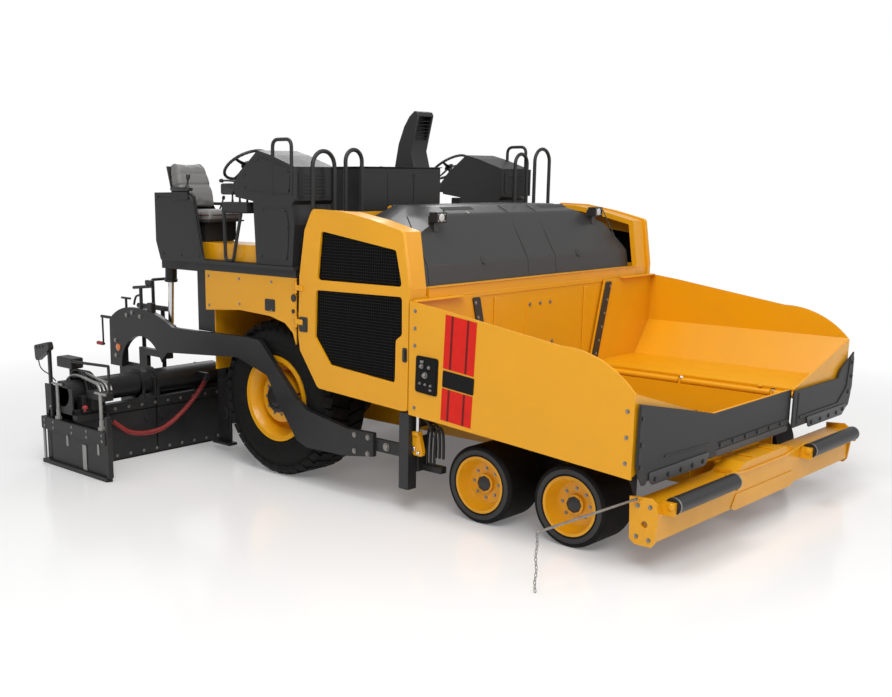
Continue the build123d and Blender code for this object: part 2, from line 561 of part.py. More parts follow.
operator_deck.part.label = "operator_deck"
export_step(operator_deck.part, "parts/operator_deck.step")

# Hand rails in front of the deck: upright loops
with BuildPart() as hand_rails:
    for y0, y1, top in ((-1530, -1300, 2575), (-1180, -1000, 2590), (1000, 1180, 2590), (1300, 1530, 2640)):
        rail_x = 462
        radius = (y1 - y0) / 2 - 1
        with BuildLine() as loop:
            FilletPolyline(
                (REAR_AXLE_X + rail_x, y0, DECK_TOP_Z),
                (REAR_AXLE_X + rail_x, y0, top),
                (REAR_AXLE_X + rail_x, y1, top),
                (REAR_AXLE_X + rail_x, y1, DECK_TOP_Z),
                radius=radius,
            )
        with BuildSketch(Plane(origin=loop.line @ 0, z_dir=loop.line % 0)):
            Circle(16)
        sweep(path=loop.line)
hand_rails.part.label = "hand_rails"
export_step(hand_rails.part, "parts/hand_rails.step")

# Control cabinet with the tapered fume stack on it
with BuildPart() as control_cabinet:
    block((-100, 300), (-850, 150), (DECK_TOP_Z, 2460))
    with BuildSketch(level_plane(2455)):
        with Locations((100, -225)):
            Rectangle(400, 410)
    with BuildSketch(level_plane(2925)):
        with Locations((165, -265)):
            Rectangle(230, 230)
    loft(ruled=True)
control_cabinet.part.label = "control_cabinet"
export_step(control_cabinet.part, "parts/control_cabinet.step")

# Operator stations: tray, seat box and console, sliding out over the machine's side
for name, s in SIDES:
    mid = STATION_Y[name]
    low, high = mid - STATION_HALF_WIDTH, mid + STATION_HALF_WIDTH
    outer = mid + s * STATION_HALF_WIDTH
    tray_z = DECK_TOP_Z + SEAT_GAP
    with BuildPart() as station:
        block((STATION_REAR_X + 60, STATION_FRONT_X), (low, high), (tray_z, tray_z + 25))
        with BuildSketch(side_plane(outer)):
            with BuildLine():
                Polyline((STATION_REAR_X, 2255), (-840, 2255), (-800, 2230), (-690, tray_z), (STATION_REAR_X + 60, tray_z), (STATION_REAR_X, 1850), close=True)
            make_face()
        extrude(amount=s * PLATE)
        block((STATION_REAR_X, STATION_REAR_X + PLATE), (low, high), (1850, 2255))
        with BuildSketch(side_plane(high)):
            with BuildLine():
                Polyline((STATION_REAR_X, 1850), (STATION_REAR_X + 60, tray_z), (STATION_REAR_X + 72, tray_z), (STATION_REAR_X + PLATE, 1850), close=True)
            make_face()
        extrude(amount=high - low)
        # seat pedestal
        block((-1100, -760), (mid - 150, mid + 150), (tray_z + 25, 2020))
        # console: a column that widens into a head leaning back over the operator's knees
        with BuildSketch(side_plane(high - 20)):
            with BuildLine():
                Polyline(
                    (-60, tray_z), (350, tray_z), (STATION_FRONT_X - 5, 2030), (350, 2180), (STATION_FRONT_X, 2210),
                    (STATION_FRONT_X, 2460), (110, 2550), (-30, 2585), (-250, 2420), (-330, 2330), (-300, 2230), (-90, 2200),
                    close=True,
                )
            make_face()
        extrude(amount=high - low - 40)
        # steering column
        along = Vector(sin(radians(HELM_TILT)), 0, -cos(radians(HELM_TILT)))
        with BuildSketch(Plane(origin=Vector(REAR_AXLE_X + HELM_X, mid, HELM_Z) + along * SEAT_GAP, z_dir=along)):
            Circle(22)
        extrude(amount=180)
    station.part.label = "station_" + name
    export_step(station.part, "parts/station_" + name + ".step")

    with BuildPart() as seat:
        block((-1120, -640), (mid - 205, mid + 205), (2020 + SEAT_GAP, 2120))
        with BuildSketch(side_plane(mid + 205)):
            with BuildLine():
                Polyline((-1120, 2100), (-1010, 2120), (-1120, 2480), (-1190, 2520), (-1250, 2500), (-1180, 2240), close=True)
            make_face()
        extrude(amount=410)
    seat.part.label = "seat_" + name
    export_step(seat.part, "parts/seat_" + name + ".step")

    with BuildPart() as helm:
        helm_plane = Plane(
            origin=(REAR_AXLE_X + HELM_X, mid, HELM_Z),
            x_dir=(0, 1, 0),
            z_dir=(-sin(radians(HELM_TILT)), 0, cos(radians(HELM_TILT))),
        )
        with BuildSketch(helm_plane):
            Circle(HELM_R + 14)
            Circle(HELM_R - 14, mode=Mode.SUBTRACT)
            with Locations((HELM_R / 2, 0), (-HELM_R / 2, 0)):
                Rectangle(HELM_R, 26)
            Circle(40)
        extrude(amount=24)
    helm.part.label = "helm_" + name
    export_step(helm.part, "parts/helm_" + name + ".step")

# Hood: folded top with a slanted front, hollow from below
with BuildPart() as hood:
    for inset, mode in ((0, Mode.ADD), (HOOD_SKIN, Mode.SUBTRACT)):
        bottom = FLANGE_TOP_Z + SEAT_GAP - (1 if inset else 0)
        with BuildPart(mode=Mode.PRIVATE) as bulk:
            with BuildSketch(cross_plane(HOOD_REAR_X + inset)):
                with BuildLine():
                    w = HOOD_HALF_WIDTH - inset
                    Polyline((-w, bottom), (w, bottom), (w, 1760), (1230 - inset, 1990), (700, HOOD_TOP_Z - inset), (-700, HOOD_TOP_Z - inset), (-1230 + inset, 1990), (-w, 1760), close=True)
                make_face()
            extrude(amount=HOOD_FRONT_X - HOOD_REAR_X - 2 * inset)
            with BuildSketch(side_plane(1500)):
                with BuildLine():
                    Polyline((HOOD_REAR_X + inset, bottom - 10), (HOOD_FRONT_X - inset, bottom - 10), (HOOD_FRONT_X - 20 - inset, 1760), (1200 - inset, 2110), (1080 - inset, HOOD_TOP_Z - inset), (HOOD_REAR_X + inset, HOOD_TOP_Z - inset), close=True)
                make_face()
            extrude(amount=3000, mode=Mode.INTERSECT)
        add(bulk.part, mode=mode)
    for y in (-700, 0, 700):
        block((HOOD_HINGE_X - 20, HOOD_REAR_X + 10), (y - 26, y + 26), (HOOD_HINGE_Z - 18, HOOD_HINGE_Z + 18))
        cross_rod(HOOD_HINGE_X, (y - 26, y + 26), HOOD_HINGE_Z, HOOD_HINGE_R + RUNNING_FIT, mode=Mode.SUBTRACT)
    for s in (-1, 1):
        block((1215, 1275), (s * 1020, s * 1080), (2000, 2110))
        block((1250, 1320), (s * 1000, s * 1100), (2060, 2130))
hood.part.label = "hood"
export_step(hood.part, "parts/hood.step")

# Push beam: an open channel across the front with end plates, a tongue round the upright pin
# and four lugs for the rollers
with BuildPart() as push_beam:
    with BuildSketch(cross_plane(BEAM_REAR_X)):
        with BuildLine():
            Polyline(
                (-BEAM_HALF_WIDTH, BEAM_BOTTOM_Z), (BEAM_HALF_WIDTH, BEAM_BOTTOM_Z), (BEAM_HALF_WIDTH, BEAM_TOP_Z),
                (470, BEAM_TOP_Z), (320, 500), (-320, 500), (-470, BEAM_TOP_Z), (-BEAM_HALF_WIDTH, BEAM_TOP_Z), close=True,
            )
        make_face()
    extrude(amount=BEAM_FRONT_X - BEAM_REAR_X)
    block((BEAM_REAR_X + 16, BEAM_FRONT_X - 16), (-BEAM_HALF_WIDTH + 16, BEAM_HALF_WIDTH - 16), (BEAM_BOTTOM_Z, BEAM_TOP_Z - 16), mode=Mode.SUBTRACT)
    for name, s in SIDES:
        with BuildSketch(side_plane(s * (BEAM_HALF_WIDTH + 16))):
            with BuildLine():
                Polyline((3240, 470), (3252, 200), (3290, 172), (3400, 172), (3424, 200), (3440, 330), (3424, 450), (3380, 480), close=True)
            make_face()
        extrude(amount=s * 17)
        cross_rod(BEAM_TIE_X, (s * (BEAM_HALF_WIDTH - 17), s * (BEAM_HALF_WIDTH + 17)), BEAM_TIE_Z, TIE_DOWN_R, mode=Mode.SUBTRACT)
        for y in (ROLLER_INNER_Y - 24, ROLLER_OUTER_Y + 4):
            block((BEAM_FRONT_X - 4, ROLLER_X + 26), (s * y, s * (y + 20)), (ROLLER_Z - 60, ROLLER_Z + 26))
            cross_rod(ROLLER_X, (s * (y - 10), s * (y + 30)), ROLLER_Z, ROLLER_PIN_R + RUNNING_FIT, mode=Mode.SUBTRACT)
    block((3284, 3316), (-BEAM_HALF_WIDTH - 40, -BEAM_HALF_WIDTH - 15), (450, 480))
    block((BEAM_PIN_X, BEAM_REAR_X + 4), (-62, 62), (262, 398))
    upright_rod(BEAM_PIN_X, 0, (262, 398), 62)
    upright_rod(BEAM_PIN_X, 0, (262, 398), BEAM_PIN_R + RUNNING_FIT, mode=Mode.SUBTRACT)
push_beam.part.label = "push_beam"
export_step(push_beam.part, "parts/push_beam.step")

for name, s in SIDES:
    with BuildPart() as roller:
        cross_rod(ROLLER_X, (s * ROLLER_INNER_Y, s * ROLLER_OUTER_Y), ROLLER_Z, ROLLER_R)
        cross_rod(ROLLER_X, (s * (ROLLER_INNER_Y - 24), s * (ROLLER_OUTER_Y + 24)), ROLLER_Z, ROLLER_PIN_R)
    roller.part.label = "push_roller_" + name
    export_step(roller.part, "parts/push_roller_" + name + ".step")

# Guide rod on the beam's right end with its hanging chain
with BuildPart() as guide_rod:
    rod_start = (REAR_AXLE_X + 3300, -BEAM_HALF_WIDTH - 43, 466)
    rod_end = (REAR_AXLE_X + 3083, -2250, 372)
    with BuildLine() as rod_line:
        Line(rod_start, rod_end)
    with BuildSketch(Plane(origin=rod_start, z_dir=rod_line.line % 0)):
        Circle(9)
    sweep(path=rod_line.line)
    with Locations((rod_end[0], rod_end[1], (372 + 4) / 2)):
        Cylinder(9, 372 - 4)
guide_rod.part.label = "guide_rod"
export_step(guide_rod.part, "parts/guide_rod.step")

# Tow arms with the arched plates at their rear ends
with BuildPart() as tow_arms:
    for name, s in SIDES:
        with BuildSketch(side_plane(s * TOW_ARM_Y)):
            with BuildLine():
                Polyline(
                    (-2235, 1140), (-2020, 1200), (-1700, 1217), (-1403, 1170), (-1263, 1095), (-910, 1101),
                    (-256, 1113), (-108, 1103), (333, 672), (446, 608), (883, 533), (1150, 540),
                    (1150, 360), (861, 319), (442, 311), (328, 349), (98, 640), (-18, 829), (-387, 934),
                    (-1347, 873), (-1360, 795), (-1540, 795), (-1590, 930), (-1800, 965), (-2030, 820),
                    (-2053, 660), (-2245, 660),
                    close=True,
                )
            make_face()
        extrude(amount=-s * TOW_ARM_T)
        block((1140, TOW_PIN_X + 18), (s * (TOW_ARM_Y - 10), s * (TOW_ARM_Y + 15)), (TOW_PIN_Z - 50, TOW_PIN_Z + 50))
        cross_rod(TOW_PIN_X, (s * TOW_ARM_Y - 60, s * TOW_ARM_Y + 60), TOW_PIN_Z, TOW_PIN_R + RUNNING_FIT, mode=Mode.SUBTRACT)
        cross_rod(LIFT_EYE_X, (s * TOW_ARM_Y, s * (LIFT_Y + 30 + SEAT_GAP)), LIFT_EYE_Z, LIFT_PIN_R + 10)
        # depth crank at the rear: shaft, crank arm and handle
        crank_y = s * (TOW_ARM_Y + TOW_ARM_T / 2)
        long_rod((-2396, -2200), crank_y, 1100, 14)
        upright_rod(-2380, crank_y, (836, 1104), 9)
        long_rod((-REAR_REACH, -2366), crank_y, 840, 14)
tow_arms.part.label = "tow_arms"
export_step(tow_arms.part, "parts/tow_arms.step")

# Main screed: bottom plate, frame box, end plates, pivots for the arms and the guide tube bearings
with BuildPart() as screed_main:
    block((SCREED_REAR_X, SCREED_FRONT_X), (-SCREED_HALF_WIDTH, SCREED_HALF_WIDTH), (0, 16))
    block((SCREED_FRONT_X - 14, SCREED_FRONT_X), (-SCREED_HALF_WIDTH, SCREED_HALF_WIDTH), (0, SCREED_HEIGHT))
    block((SCREED_REAR_X, SCREED_REAR_X + 14), (-SCREED_HALF_WIDTH, SCREED_HALF_WIDTH), (0, 300))
    block((SCREED_REAR_X, SCREED_FRONT_X), (-SCREED_HALF_WIDTH, SCREED_HALF_WIDTH), (286, 300))
    for name, s in SIDES:
        block((SCREED_REAR_X, SCREED_FRONT_X), (s * (SCREED_HALF_WIDTH - 16), s * SCREED_HALF_WIDTH), (0, 700))
        for z_span in ((90, 130), (340, 390)):
            block((SCREED_FRONT_X, EXTENSION_REAR_X - SEAT_GAP), (s * 5, s * SCREED_HALF_WIDTH), z_span)
        block((SCREED_REAR_X, -2060), (s * (SCREED_HALF_WIDTH - 16), s * TOW_ARM_Y), (664, 820))
        block((SCREED_FRONT_X - 20, -1400), (s * (SCREED_HALF_WIDTH - 40), s * (TOW_ARM_Y)), (800, 860))
        block((SCREED_FRONT_X - 120, SCREED_FRONT_X), (s * (SCREED_HALF_WIDTH - 40), s * SCREED_HALF_WIDTH), (480, 860))
screed_main.part.label = "screed_main"
export_step(screed_main.part, "parts/screed_main.step")

# Route of the curly sensor cord in front of the right extension, as (y, z)
CORD_R = 22.0
CORD_X = -1230.0
CORD_ROUTE = (
    (-2268, 372), (-2200, 322), (-2130, 262), (-2040, 228), (-1940, 214), (-1840, 213), (-1745, 228),
    (-1655, 268), (-1560, 322), (-1475, 384), (-1395, 452), (-1325, 520), (-1272, 590),
)
cord_points = [Vector(REAR_AXLE_X + CORD_X, y, z) for y, z in CORD_ROUTE]

# Screed extensions, drawn out, and their end gates
for name, s in SIDES:
    inner = EXTENSION_INNER_Y
    outer = EXTENSION_INNER_Y + EXTENSION_LENGTH
    with BuildPart() as extension:
        block((EXTENSION_REAR_X, EXTENSION_FRONT_X), (s * inner, s * outer), (0, 16))
        block((EXTENSION_FRONT_X - 14, EXTENSION_FRONT_X), (s * inner, s * outer), (0, EXTENSION_HEIGHT))
        block((EXTENSION_REAR_X, EXTENSION_REAR_X + 14), (s * inner, s * outer), (0, 420))
        block((EXTENSION_REAR_X, EXTENSION_FRONT_X), (s * inner, s * outer), (406, 420))
        for y in (inner, inner + 750, outer - 320, outer - 16):
            block((EXTENSION_REAR_X, EXTENSION_FRONT_X), (s * y, s * (y + 16)), (0, GUIDE_TUBE_Z + 60))
        cross_rod(GUIDE_TUBE_X, (s * inner, s * outer), GUIDE_TUBE_Z, GUIDE_TUBE_R)
        block((EXTENSION_REAR_X + 40, EXTENSION_FRONT_X + 60), (s * (outer - 320), s * outer), (420, 740))
        if name == "right":
            # the cord's two glands and the brackets that hold them
            for end, beside in ((cord_points[0], cord_points[1]), (cord_points[-1], cord_points[-2])):
                away = (end - beside).normalized()
                with BuildSketch(Plane(origin=end + away * SEAT_GAP, z_dir=away)):
                    Circle(CORD_R + 4)
                extrude(amount=60)
            block((EXTENSION_FRONT_X - 4, CORD_X + 15), (-2330, -2300), (390, 440))
            block((EXTENSION_FRONT_X - 60, CORD_X + 15), (-1262, -1232), (620, 660))
    extension.part.label = "extension_" + name
    export_step(extension.part, "parts/extension_" + name + ".step")

    gate_y = outer + SEAT_GAP
    with BuildPart() as end_gate:
        block((GATE_REAR_X, GATE_FRONT_X), (s * gate_y, s * (gate_y + GATE_T)), (0, GATE_HEIGHT))
        block((GATE_REAR_X - 20, GATE_FRONT_X + 10), (s * gate_y, s * (gate_y + 55)), (GATE_HEIGHT - 20, GATE_HEIGHT + 30))
        block((GATE_FRONT_X - 60, GATE_FRONT_X), (s * gate_y, s * (gate_y + GATE_T)), (GATE_HEIGHT, 600))
        block((-1610, -1580), (s * gate_y, s * (gate_y + GATE_T)), (GATE_HEIGHT, 1010))
    end_gate.part.label = "end_gate_" + name
    export_step(end_gate.part, "parts/end_gate_" + name + ".step")

# Augers: one shaft a side with a helical flight of ruled sectors, mirror-handed
for name, s in SIDES:
    with BuildPart() as auger:
        cross_rod(AUGER_X, (s * AUGER_INNER_Y, s * AUGER_OUTER_Y), AUGER_Z, AUGER_SHAFT_R)
        cross_rod(AUGER_X, (s * 50, s * AUGER_INNER_Y), AUGER_Z, AUGER_STUB_R)
        steps = int((AUGER_OUTER_Y - AUGER_INNER_Y - 60) / AUGER_PITCH * 360 / FLIGHT_STEP)
        for i in range(steps + 1):
            turn = radians(i * FLIGHT_STEP)
            y = AUGER_INNER_Y + 30 + i * FLIGHT_STEP / 360 * AUGER_PITCH
            out = Vector(cos(turn), 0, sin(turn))
            across = Vector(0, 1, 0)
            with BuildSketch(Plane(origin=(REAR_AXLE_X + AUGER_X, s * y, AUGER_Z), x_dir=out, z_dir=out.cross(across))):
                with Locations(((AUGER_SHAFT_R - 6 + AUGER_R) / 2, 0)):
                    Rectangle(AUGER_R - AUGER_SHAFT_R + 6, FLIGHT_T)
        loft(ruled=True)
    auger.part.label = "auger_" + name
    export_step(auger.part, "parts/auger_" + name + ".step")

# Lift cylinders: barrel hung from the mast's pin, rod down to the tow arm
for name, s in SIDES:
    reach = Vector(LIFT_EYE_X - LIFT_TOP_X, 0, LIFT_EYE_Z - LIFT_TOP_Z)
    down = reach.normalized()
    top = Vector(REAR_AXLE_X + LIFT_TOP_X, s * LIFT_Y, LIFT_TOP_Z)
    with BuildPart() as lift_barrel:
        with BuildSketch(Plane(origin=top + down * 40, z_dir=down)):
            Circle(LIFT_BARREL_R)
        extrude(amount=LIFT_BARREL_END - 40)
        cross_rod(LIFT_TOP_X, (s * LIFT_Y - 40, s * LIFT_Y + 40), LIFT_TOP_Z, 45)
        cross_rod(LIFT_TOP_X, (s * LIFT_Y - 60, s * LIFT_Y + 60), LIFT_TOP_Z, LIFT_PIN_R + RUNNING_FIT, mode=Mode.SUBTRACT)
        with BuildSketch(Plane(origin=top + down * 80, z_dir=down)):
            Circle(LIFT_ROD_R + RUNNING_FIT)
        extrude(amount=LIFT_BARREL_END - 79, mode=Mode.SUBTRACT)
    lift_barrel.part.label = "lift_barrel_" + name
    export_step(lift_barrel.part, "parts/lift_barrel_" + name + ".step")

    with BuildPart() as lift_rod:
        with BuildSketch(Plane(origin=top + down * (LIFT_BARREL_END - 45), z_dir=down)):
            Circle(LIFT_ROD_R)
        extrude(amount=reach.length - LIFT_BARREL_END + 45)
        cross_rod(LIFT_EYE_X, (s * LIFT_Y - 30, s * LIFT_Y + 30), LIFT_EYE_Z, 42)
    lift_rod.part.label = "lift_rod_" + name
    export_step(lift_rod.part, "parts/lift_rod_" + name + ".step")

# Curly sensor cord in front of the right extension, as one tube of the curl's outer diameter
with BuildPart() as curly_cord:
    radii = []
    for before, here, after in zip(cord_points, cord_points[1:], cord_points[2:]):
        turn = radians((here - before).get_angle(after - here))
        radii.append(0.45 * min((here - before).length, (after - here).length) / tan(turn / 2))
    with BuildLine() as route:
        FilletPolyline(*cord_points, radius=radii)
    with BuildSketch(Plane(origin=route.line @ 0, z_dir=route.line % 0)):
        Circle(CORD_R)
    sweep(path=route.line)
curly_cord.part.label = "curly_cord"
export_step(curly_cord.part, "parts/curly_cord.step")
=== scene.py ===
import bmesh
import bpy
import json
import math
from mathutils import Matrix, Vector


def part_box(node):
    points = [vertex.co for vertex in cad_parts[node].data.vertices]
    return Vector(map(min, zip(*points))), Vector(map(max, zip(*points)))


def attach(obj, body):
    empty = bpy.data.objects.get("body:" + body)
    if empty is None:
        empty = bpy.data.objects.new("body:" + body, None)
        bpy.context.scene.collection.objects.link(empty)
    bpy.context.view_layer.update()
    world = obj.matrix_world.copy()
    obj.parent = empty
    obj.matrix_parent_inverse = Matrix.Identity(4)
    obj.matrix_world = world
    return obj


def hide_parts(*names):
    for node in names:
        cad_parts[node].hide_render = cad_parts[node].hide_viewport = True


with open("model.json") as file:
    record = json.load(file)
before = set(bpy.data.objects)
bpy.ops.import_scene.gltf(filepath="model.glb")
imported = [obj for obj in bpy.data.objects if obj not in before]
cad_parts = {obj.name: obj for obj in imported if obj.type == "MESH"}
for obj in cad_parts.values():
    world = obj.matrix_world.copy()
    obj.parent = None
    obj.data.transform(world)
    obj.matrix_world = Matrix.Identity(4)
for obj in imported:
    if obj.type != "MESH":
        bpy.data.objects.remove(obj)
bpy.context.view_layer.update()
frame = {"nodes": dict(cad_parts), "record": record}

nodes = frame["nodes"]
SIDES = (("right", -1), ("left", 1))
OUT, FORWARD, UP = (0, 1, 0), (1, 0, 0), (0, 0, 1)


# Camera: a low three-quarter view of the front right corner. All places are counted
# from the drive axle, as in the machine's own drawing; AXLE_X is the axle's own x.
wheel_low, wheel_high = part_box("drive_rim_right")
AXLE_X = (wheel_low.x + wheel_high.x) / 2
EYE = (AXLE_X + 6.652, -7.441, 2.379)
EYE_TURN = (77.894, -0.065, 44.522)
camera_data = bpy.data.cameras.new("photo_camera")
camera_data.sensor_width = 36.0
camera_data.lens = 45.165
camera_data.shift_x = 0.1092
camera_data.shift_y = 0.0777
camera = bpy.data.objects.new("photo_camera", camera_data)
camera.location = EYE
camera.rotation_euler = [math.radians(turn) for turn in EYE_TURN]
bpy.context.scene.collection.objects.link(camera)
bpy.context.scene.camera = camera


def place(mesh, name, body, coat, smooth_angle=35.0):
    """Makes a piece of a mesh that is in the machine's frame. A coat is a slot with its material."""
    slot, finish = coat
    mesh.materials.append(finish)
    mesh.shade_smooth()
    mesh.set_sharp_from_angle(angle=math.radians(smooth_angle))
    piece = bpy.data.objects.new(name, mesh)
    bpy.context.scene.collection.objects.link(piece)
    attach(piece, body)
    return piece


class Value:
    """An output socket of a material. Arithmetic on it adds Math nodes."""

    def __init__(self, finish, socket):
        self.finish = finish
        self.socket = socket

    def math(self, operation, *values, clamp=False):
        settings = {"operation": operation, "use_clamp": clamp}
        return self.finish.add("ShaderNodeMath", settings, dict(enumerate(values)))

    def __add__(self, other):
        return self.math("ADD", self, other)

    def __sub__(self, other):
        return self.math("SUBTRACT", self, other)

    def __mul__(self, other):
        return self.math("MULTIPLY", self, other)

    def clamped(self):
        return self.math("MULTIPLY", self, 1.0, clamp=True)

    def size(self):
        return self.math("ABSOLUTE", self)

    def above(self, limit):
        return self.math("GREATER_THAN", self, limit)

    def below(self, limit):
        return self.math("LESS_THAN", self, limit)


class Finish:
    """A material being built: one method adds any node, and set() fills the shader's sockets."""

    def __init__(self, name):
        self.material = bpy.data.materials.new(name)
        self.material.use_nodes = True
        self.tree = self.material.node_tree
        self.shader = self.tree.nodes["Principled BSDF"]
        self.place = self.add("ShaderNodeTexCoord", out="Object")

    def fill(self, socket, value):
        if isinstance(value, Value):
            self.tree.links.new(value.socket, socket)
        else:
            socket.default_value = value

    def add(self, kind, settings=None, values=None, out=0):
        node = self.tree.nodes.new(kind)
        for key, value in (settings or {}).items():
            setattr(node, key, value)
        for key, value in (values or {}).items():
            self.fill(node.inputs[key], value)
        return Value(self, node.outputs[out])

    def axis(self, letter):
        return self.add("ShaderNodeSeparateXYZ", {}, {0: self.place}, letter)

    def noise(self, scale, detail=2.0, roughness=0.5, stretch=None):
        where = self.place
        if stretch:
            where = self.add("ShaderNodeMapping", {}, {"Vector": self.place, "Scale": stretch})
        values = {"Vector": where, "Scale": scale, "Detail": detail, "Roughness": roughness}
        return self.add("ShaderNodeTexNoise", {}, values, "Fac")

    def band(self, value, low, high, to_low=0.0, to_high=1.0):
        values = {"Value": value, "From Min": low, "From Max": high, "To Min": to_low, "To Max": to_high}
        return self.add("ShaderNodeMapRange", {"clamp": True}, values)

    def mix(self, factor, first, second):
        return self.add("ShaderNodeMix", {"data_type": "RGBA"}, {0: factor, 6: first, 7: second}, 2)

    def bump(self, height, strength, distance):
        values = {"Strength": strength, "Distance": distance, "Height": height}
        return self.add("ShaderNodeBump", {}, values)

    def set(self, **values):
        for key, value in values.items():
            self.fill(self.shader.inputs[key.replace("_", " ")], value)
        return self.material


def solid(values):
    """Three numbers and a 1: a shade with full alpha, or a curve's point with its weight."""
    return (*values, 1.0)


# Curly sensor cord in front of the right extension: a red coiled lead of a 7 mm
# wire, hung between two glands. Its route repeats the one its solid follows.
CORD_X = -1.23
CORD_COIL_R = 0.0185
CORD_WIRE_R = 0.0035
CORD_PITCH = 0.0145
STEPS_A_TURN = 10
CORD_ROUTE = (
    (-2.268, 0.372), (-2.2, 0.322), (-2.13, 0.262), (-2.04, 0.228), (-1.94, 0.214), (-1.84, 0.213),
    (-1.745, 0.228), (-1.655, 0.268), (-1.56, 0.322), (-1.475, 0.384), (-1.395, 0.452), (-1.325, 0.52),
    (-1.272, 0.59),
)


def smooth_route(points):
    """Points along the smooth line that has these as its control points."""
    data = bpy.data.curves.new("route", "CURVE")
    data.dimensions = "3D"
    data.resolution_u = 12
    spline = data.splines.new("NURBS")
    spline.points.add(len(points) - 1)
    for knot, point in zip(spline.points, points):
        knot.co = solid(point)
    spline.order_u = 3
    spline.use_endpoint_u = True
    carrier = bpy.data.objects.new("route", data)
    mesh = bpy.data.meshes.new_from_object(carrier)
    line = [vertex.co.copy() for vertex in mesh.vertices]
    bpy.data.objects.remove(carrier)
    bpy.data.curves.remove(data)
    bpy.data.meshes.remove(mesh)
    return line


def ring(centre, across, up, radius, sides):
    """Points on a circle round a centre, in the plane of two directions."""
    turns = [math.tau * k / sides for k in range(sides)]
    return [centre + (across * math.cos(turn) + up * math.sin(turn)) * radius for turn in turns]


def rings_along(line, radius, sides):
    """The rings of a round tube on a line of points."""
    normal = Vector(UP)
    rings = []
    for i, point in enumerate(line):
        ahead = line[min(i + 1, len(line) - 1)] - line[max(i - 1, 0)]
        ahead.normalize()
        if abs(normal.dot(ahead)) > 0.99:
            normal = ahead.orthogonal()
        normal = (normal - ahead * normal.dot(ahead)).normalized()
        rings.append(ring(point, normal, ahead.cross(normal), radius, sides))
    return rings


def rounded(points, radius, steps=4):
    """A route or outline with its corners turned on a radius; a closed one repeats its first point."""
    points = [Vector(point) for point in points]
    closed = points[0] == points[-1]
    corners = points[:-1] if closed else points
    line = []
    for i, here in enumerate(corners):
        if not closed and i in (0, len(corners) - 1):
            line.append(here)
            continue
        back = corners[i - 1] - here
        ahead = corners[(i + 1) % len(corners)] - here
        half = back.angle(ahead) / 2
        reach = min(radius / math.tan(half), 0.48 * back.length, 0.48 * ahead.length)
        start = here + back.normalized() * reach
        stop = here + ahead.normalized() * reach
        for k in range(steps + 1):
            t = k / steps
            line.append(start * (1 - t) ** 2 + here * 2 * t * (1 - t) + stop * t ** 2)
    return line


class Fabrication:
    """A piece while it is made up of plates, bars, turned parts and pipes, with x from the drive
    axle and y outwards from a middle line: to the right where the side is -1."""

    def __init__(self, side=1, middle=0.0, shift=AXLE_X, name=None):
        self.bm = bmesh.new()
        self.side, self.middle, self.shift, self.name = side, middle, shift, name

    def spot(self, x, y, z):
        return Vector((x, self.middle + self.side * y, z))

    def skin(self, rings, loop=False):
        """Joins rings of points one to the next. Its ends are closed unless it is a loop."""
        rings = [[self.bm.verts.new(point) for point in points] for points in rings]
        count = len(rings[0])
        for here, after in zip(rings, rings[1:] + rings[:1] if loop else rings[1:]):
            for k in range(count):
                self.bm.faces.new((here[k], here[(k + 1) % count], after[(k + 1) % count], after[k]))
        if not loop:
            self.bm.faces.new(rings[0][::-1])
            self.bm.faces.new(rings[-1])
        return rings

    def ease(self, edges, size, segments):
        bmesh.ops.bevel(self.bm, geom=list(edges), offset=size, segments=segments, profile=0.5,
                        affect="EDGES", clamp_overlap=True)

    def plate(self, outline, across, low, high, edge=0.002, corner=0.0, steps=4, segments=1):
        """A plate cut to an outline with rounded corners, lying across x, y or z between low and high."""
        if corner:
            outline = rounded([*outline, outline[0]], corner, steps)
        order = {"x": (2, 0, 1), "y": (0, 2, 1), "z": (0, 1, 2)}[across]
        rings = self.skin([
            [self.spot(*[(u, v, level)[k] for k in order]) for u, v, *_ in outline] for level in (low, high)
        ])
        if edge:
            self.ease({e for points in rings for v in points for e in v.link_edges
                       if e.other_vert(v) in points}, edge, segments)

    def bars(self, edge, *rows, segments=1):
        """Bars with eased edges, each between two x, two y and two z."""
        for x0, x1, y0, y1, z0, z1 in rows:
            foot = ((x0, y0), (x1, y0), (x1, y1), (x0, y1))
            rings = self.skin([[self.spot(x, y, z) for x, y in foot] for z in (z0, z1)])
            if edge:
                self.ease({e for points in rings for v in points for e in v.link_edges}, edge, segments)

    def turned(self, base, towards, profile, sides=20, loop=False):
        """A turned part on an axis, from (distance from its base, radius). A loop makes a ring."""
        x, y, z = towards
        axis = Vector((x, self.side * y, z)).normalized()
        across = axis.orthogonal().normalized()
        up = axis.cross(across)
        base = self.spot(*base)
        self.skin([ring(base + axis * far, across, up, radius, sides) for far, radius in profile], loop)

    def rods(self, radius, sides, *rows, edge=0.002):
        """Round rods, each from one x, y, z to another."""
        for row in rows:
            run = Vector(row[3:]) - Vector(row[:3])
            far = run.length
            ends = ((0, radius - edge), (edge, radius), (far - edge, radius), (far, radius - edge))
            self.turned(row[:3], run, ends, sides)

    def pipe(self, points, radius, sides=8, bend=None):
        """A pipe with bends, or a hose on a smooth line where no bend is given."""
        points = [self.spot(*point) for point in points]
        self.skin(rings_along(rounded(points, bend, 6) if bend else smooth_route(points), radius, sides))

    def mesh(self, name):
        bmesh.ops.recalc_face_normals(self.bm, faces=self.bm.faces)
        mesh = bpy.data.meshes.new(name)
        self.bm.to_mesh(mesh)
        self.bm.free()
        return mesh

    def done(self, name, body, coat, replaces=None, smooth_angle=35.0):
        mesh = self.mesh(name)
        mesh.transform(Matrix.Translation((self.shift, 0, 0)))
        piece = place(mesh, name, body, coat, smooth_angle)
        if replaces:
            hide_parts(replaces)
        return piece


